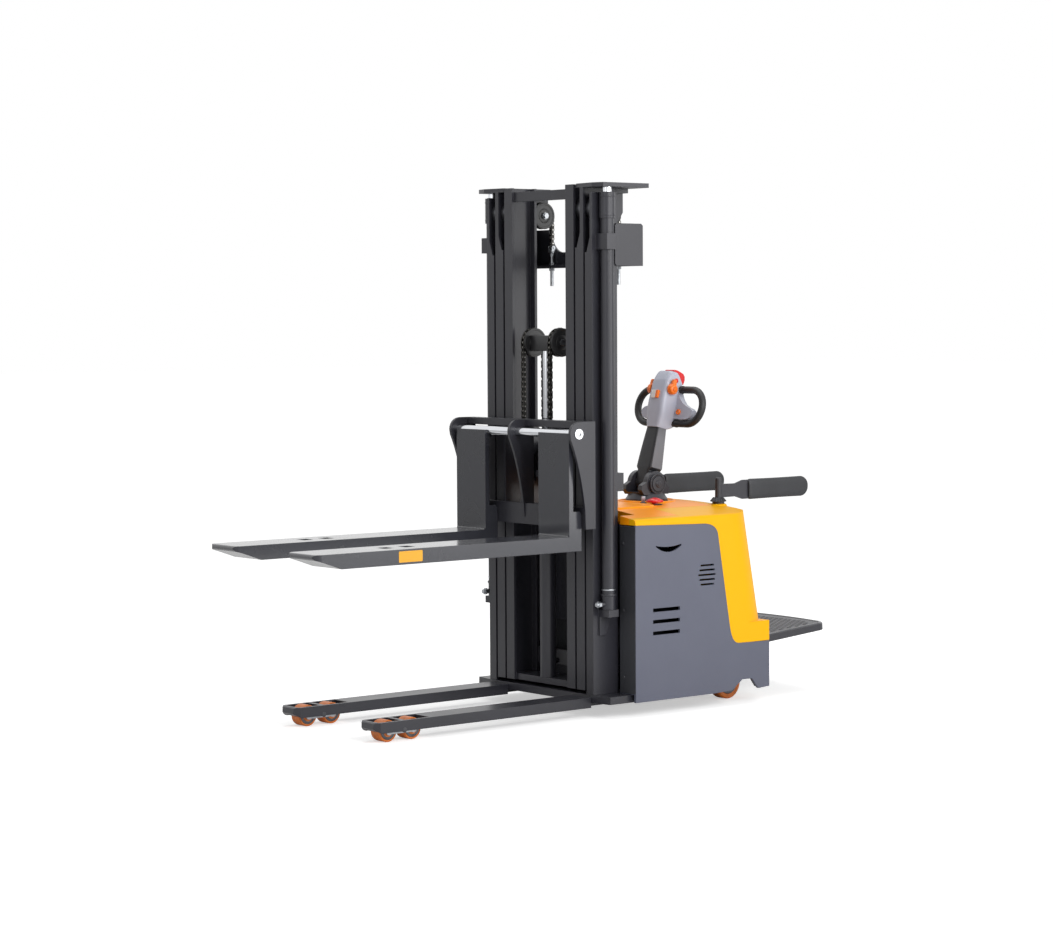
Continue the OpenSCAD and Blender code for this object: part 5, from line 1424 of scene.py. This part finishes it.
@dataclass
class Forks:
    """Bare plates and welds on the forks."""

    half: float = 90.0
    top: float = 696.0
    bead_r: float = 5.0
    bead_off: float = 0.5
    ripple: float = 0.5
    ripple_mm: float = 7.0

    def plates(self) -> None:
        """Plain yellow plate on the outer side of each fork, with round corners."""
        outline = rounded_box((-791.0, self.top - 47.0), (-686.0, self.top - 7.0), 4.0, 4)
        for side, name in SIDES:
            face = side * (LEG_X + self.half)
            low, high = sorted((face - side * 0.4, face + side * 0.5))
            piece = Builder(name + "_fork_plate", "carriage", "", PLATE_YELLOW)
            piece.prism(outline, Axis.X, low, high).settle()

    def welds(self) -> None:
        """Weld bead in the corner between blade and shank: a rounded bar with ripples, its radius the mean
        plus a sine along its length."""
        along = np.linspace(-self.half + 4.0, self.half - 4.0, 180)[:, None]
        radius = self.bead_r + self.ripple * np.sin(along * 2.0 * np.pi / self.ripple_mm)
        angle = np.radians(np.arange(0.0, 360.0, 30.0))[None, :]
        for side, name in SIDES:
            bead = spread(side * LEG_X + along, -self.bead_off + radius * np.cos(angle),
                          self.top + self.bead_off + radius * np.sin(angle), Axis.X)
            # The bead takes the forks' coat with its painted sheen
            piece = Builder(name + "_fork_weld", "carriage", "frame_paint", FORK_SHEEN_COAT)
            piece.grid(bead).settle(smooth=60.0)

    def build(self) -> None:
        """Builds the plates and the welds."""
        self.plates()
        self.welds()


@dataclass
class Studio:
    """Camera, lamps, floor and white surroundings of the photograph.

    Each lamp is a name, a place in metres, the side of its square in metres and its power in watts.
    """

    azimuth: float = 51.1379
    pitch: float = 3.3721
    roll: float = -0.3331
    station: Point = (8.1118, -6.5306, 1.5188)
    sensor_mm: float = 36.0
    lens_mm: float = 93.18
    shift: tuple[float, float] = (0.01306, 0.00244)
    farthest: float = 200.0
    floor_half: float = 60.0
    aim: Point = (0.0, 0.0, 0.9)
    ambient: float = 0.36
    floor_grey: float = 0.9
    glow_reach: tuple[float, float] = (1.5, 7.0)
    glow: tuple[float, float] = (0.5, 0.72)
    lamps: tuple[tuple[str, Point, float, float], ...] = (
        ("key", (5.8, -0.8, 3.6), 3.0, 190.0), ("front", (1.6, -6.0, 2.6), 3.0, 22.0),
        ("fill", (4.8, 2.4, 2.0), 3.5, 90.0), ("top", (-1.0, 0.5, 5.4), 4.5, 130.0))

    def camera(self) -> None:
        """Places the scene's camera by azimuth, downward pitch and roll."""
        az, p, r = (math.radians(v) for v in (self.azimuth, self.pitch, self.roll))
        ahead = Vector((-math.sin(az) * math.cos(p), math.cos(az) * math.cos(p), -math.sin(p)))
        right = Vector((math.cos(az), math.sin(az), 0.0))
        up = right.cross(ahead)
        side = right * math.cos(r) + up * math.sin(r)
        top = side.cross(ahead)
        data = bpy.data.cameras.new("camera")
        data.sensor_width = self.sensor_mm
        data.lens = self.lens_mm
        data.shift_x, data.shift_y = self.shift
        data.clip_end = self.farthest
        camera = bpy.data.objects.new("camera", data)
        turn = Matrix((side, top, -ahead)).transposed().to_4x4()
        x, y, z = self.station
        camera.matrix_world = Matrix.Translation((x, y + LOAD_FACE_Y * MM, z)) @ turn
        bpy.context.scene.collection.objects.link(camera)
        bpy.context.scene.camera = camera

    def lamp(self, name: str, spot: Point, size: float, power: float) -> None:
        """Adds a square area lamp aimed at the middle of the object.

        Args:
            name: The lamp's name.
            spot: Its place in metres.
            size: Side of the square in metres.
            power: Radiant power in watts.
        """
        data = bpy.data.lights.new(name, "AREA")
        data.size = size
        data.energy = power
        lamp = bpy.data.objects.new(name, data)
        lamp.location = spot
        lamp.rotation_euler = (Vector(self.aim) - Vector(spot)).to_track_quat("-Z", "Y").to_euler()
        bpy.context.scene.collection.objects.link(lamp)

    def surroundings(self) -> None:
        """Lights the world evenly, and shows it white to the camera, in gloss and through glass."""
        world = bpy.data.worlds.new("studio")
        bpy.context.scene.world = world
        world.use_nodes = True
        tree = world.node_tree
        path = add_node(tree, "LightPath", {})
        seen = path.outputs["Is Camera Ray"]
        for ray in ("Is Glossy Ray", "Is Transmission Ray"):
            both = {0: seen, 1: path.outputs[ray]}
            seen = add_node(tree, "Math", {"operation": "MAXIMUM"}, both).outputs[0]
        strength = add_node(tree, "MapRange", {"To Min": self.ambient, "To Max": 1.0}, {"Value": seen})
        background = tree.nodes["Background"]
        background.inputs["Color"].default_value = WHITE
        tree.links.new(strength.outputs["Result"], background.inputs["Strength"])

    def floor(self) -> None:
        """Lays a pale floor that keeps the shadow and reads white to the camera, more so with distance."""
        half = self.floor_half
        mesh = bpy.data.meshes.new("floor")
        corners = [(-half, -half, 0.0), (half, -half, 0.0), (half, half, 0.0), (-half, half, 0.0)]
        mesh.from_pydata(corners, [], [(0, 1, 2, 3)])
        plane = bpy.data.objects.new("floor", mesh)
        bpy.context.scene.collection.objects.link(plane)
        material = bpy.data.materials.new("pale floor")
        material.use_nodes = True
        tree = material.node_tree
        tree.nodes.remove(tree.nodes["Principled BSDF"])
        matt = add_node(tree, "BsdfDiffuse", {"Color": (*[self.floor_grey] * 3, 1.0)})
        seen = add_node(tree, "LightPath", {}).outputs["Is Camera Ray"]
        place = add_node(tree, "TexCoord", {}).outputs["Object"]
        away = add_node(tree, "VectorMath", {"operation": "LENGTH"}, {0: place}).outputs["Value"]
        (near, far), (dim, bright) = self.glow_reach, self.glow
        limits = {"From Min": near, "From Max": far, "To Min": dim, "To Max": bright}
        glow = add_node(tree, "MapRange", limits, {"Value": away}).outputs["Result"]
        share = add_node(tree, "Math", {"operation": "MULTIPLY"}, {0: seen, 1: glow}).outputs[0]
        shine = add_node(tree, "Emission", {"Color": WHITE}, {"Strength": share})
        both = add_node(tree, "AddShader", {}, {0: matt.outputs[0], 1: shine.outputs[0]})
        tree.links.new(both.outputs[0], tree.nodes["Material Output"].inputs["Surface"])
        mesh.materials.append(material)

    def build(self) -> None:
        """Sets up the whole studio."""
        bpy.context.scene.view_settings.view_transform = "Standard"
        self.camera()
        self.surroundings()
        self.floor()
        for lamp in self.lamps:
            self.lamp(*lamp)


def main() -> None:
    """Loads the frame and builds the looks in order."""
    logging.basicConfig(level=logging.INFO, format="%(name)s: %(message)s")
    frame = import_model()
    Studio().build()
    dress_nodes(frame)
    for assembly in (Tiller, Chains, Anchors, Hardware, Body, Arms, Platform, Wheels, Forks):
        assembly().build()


if __name__ == "__main__":
    main()
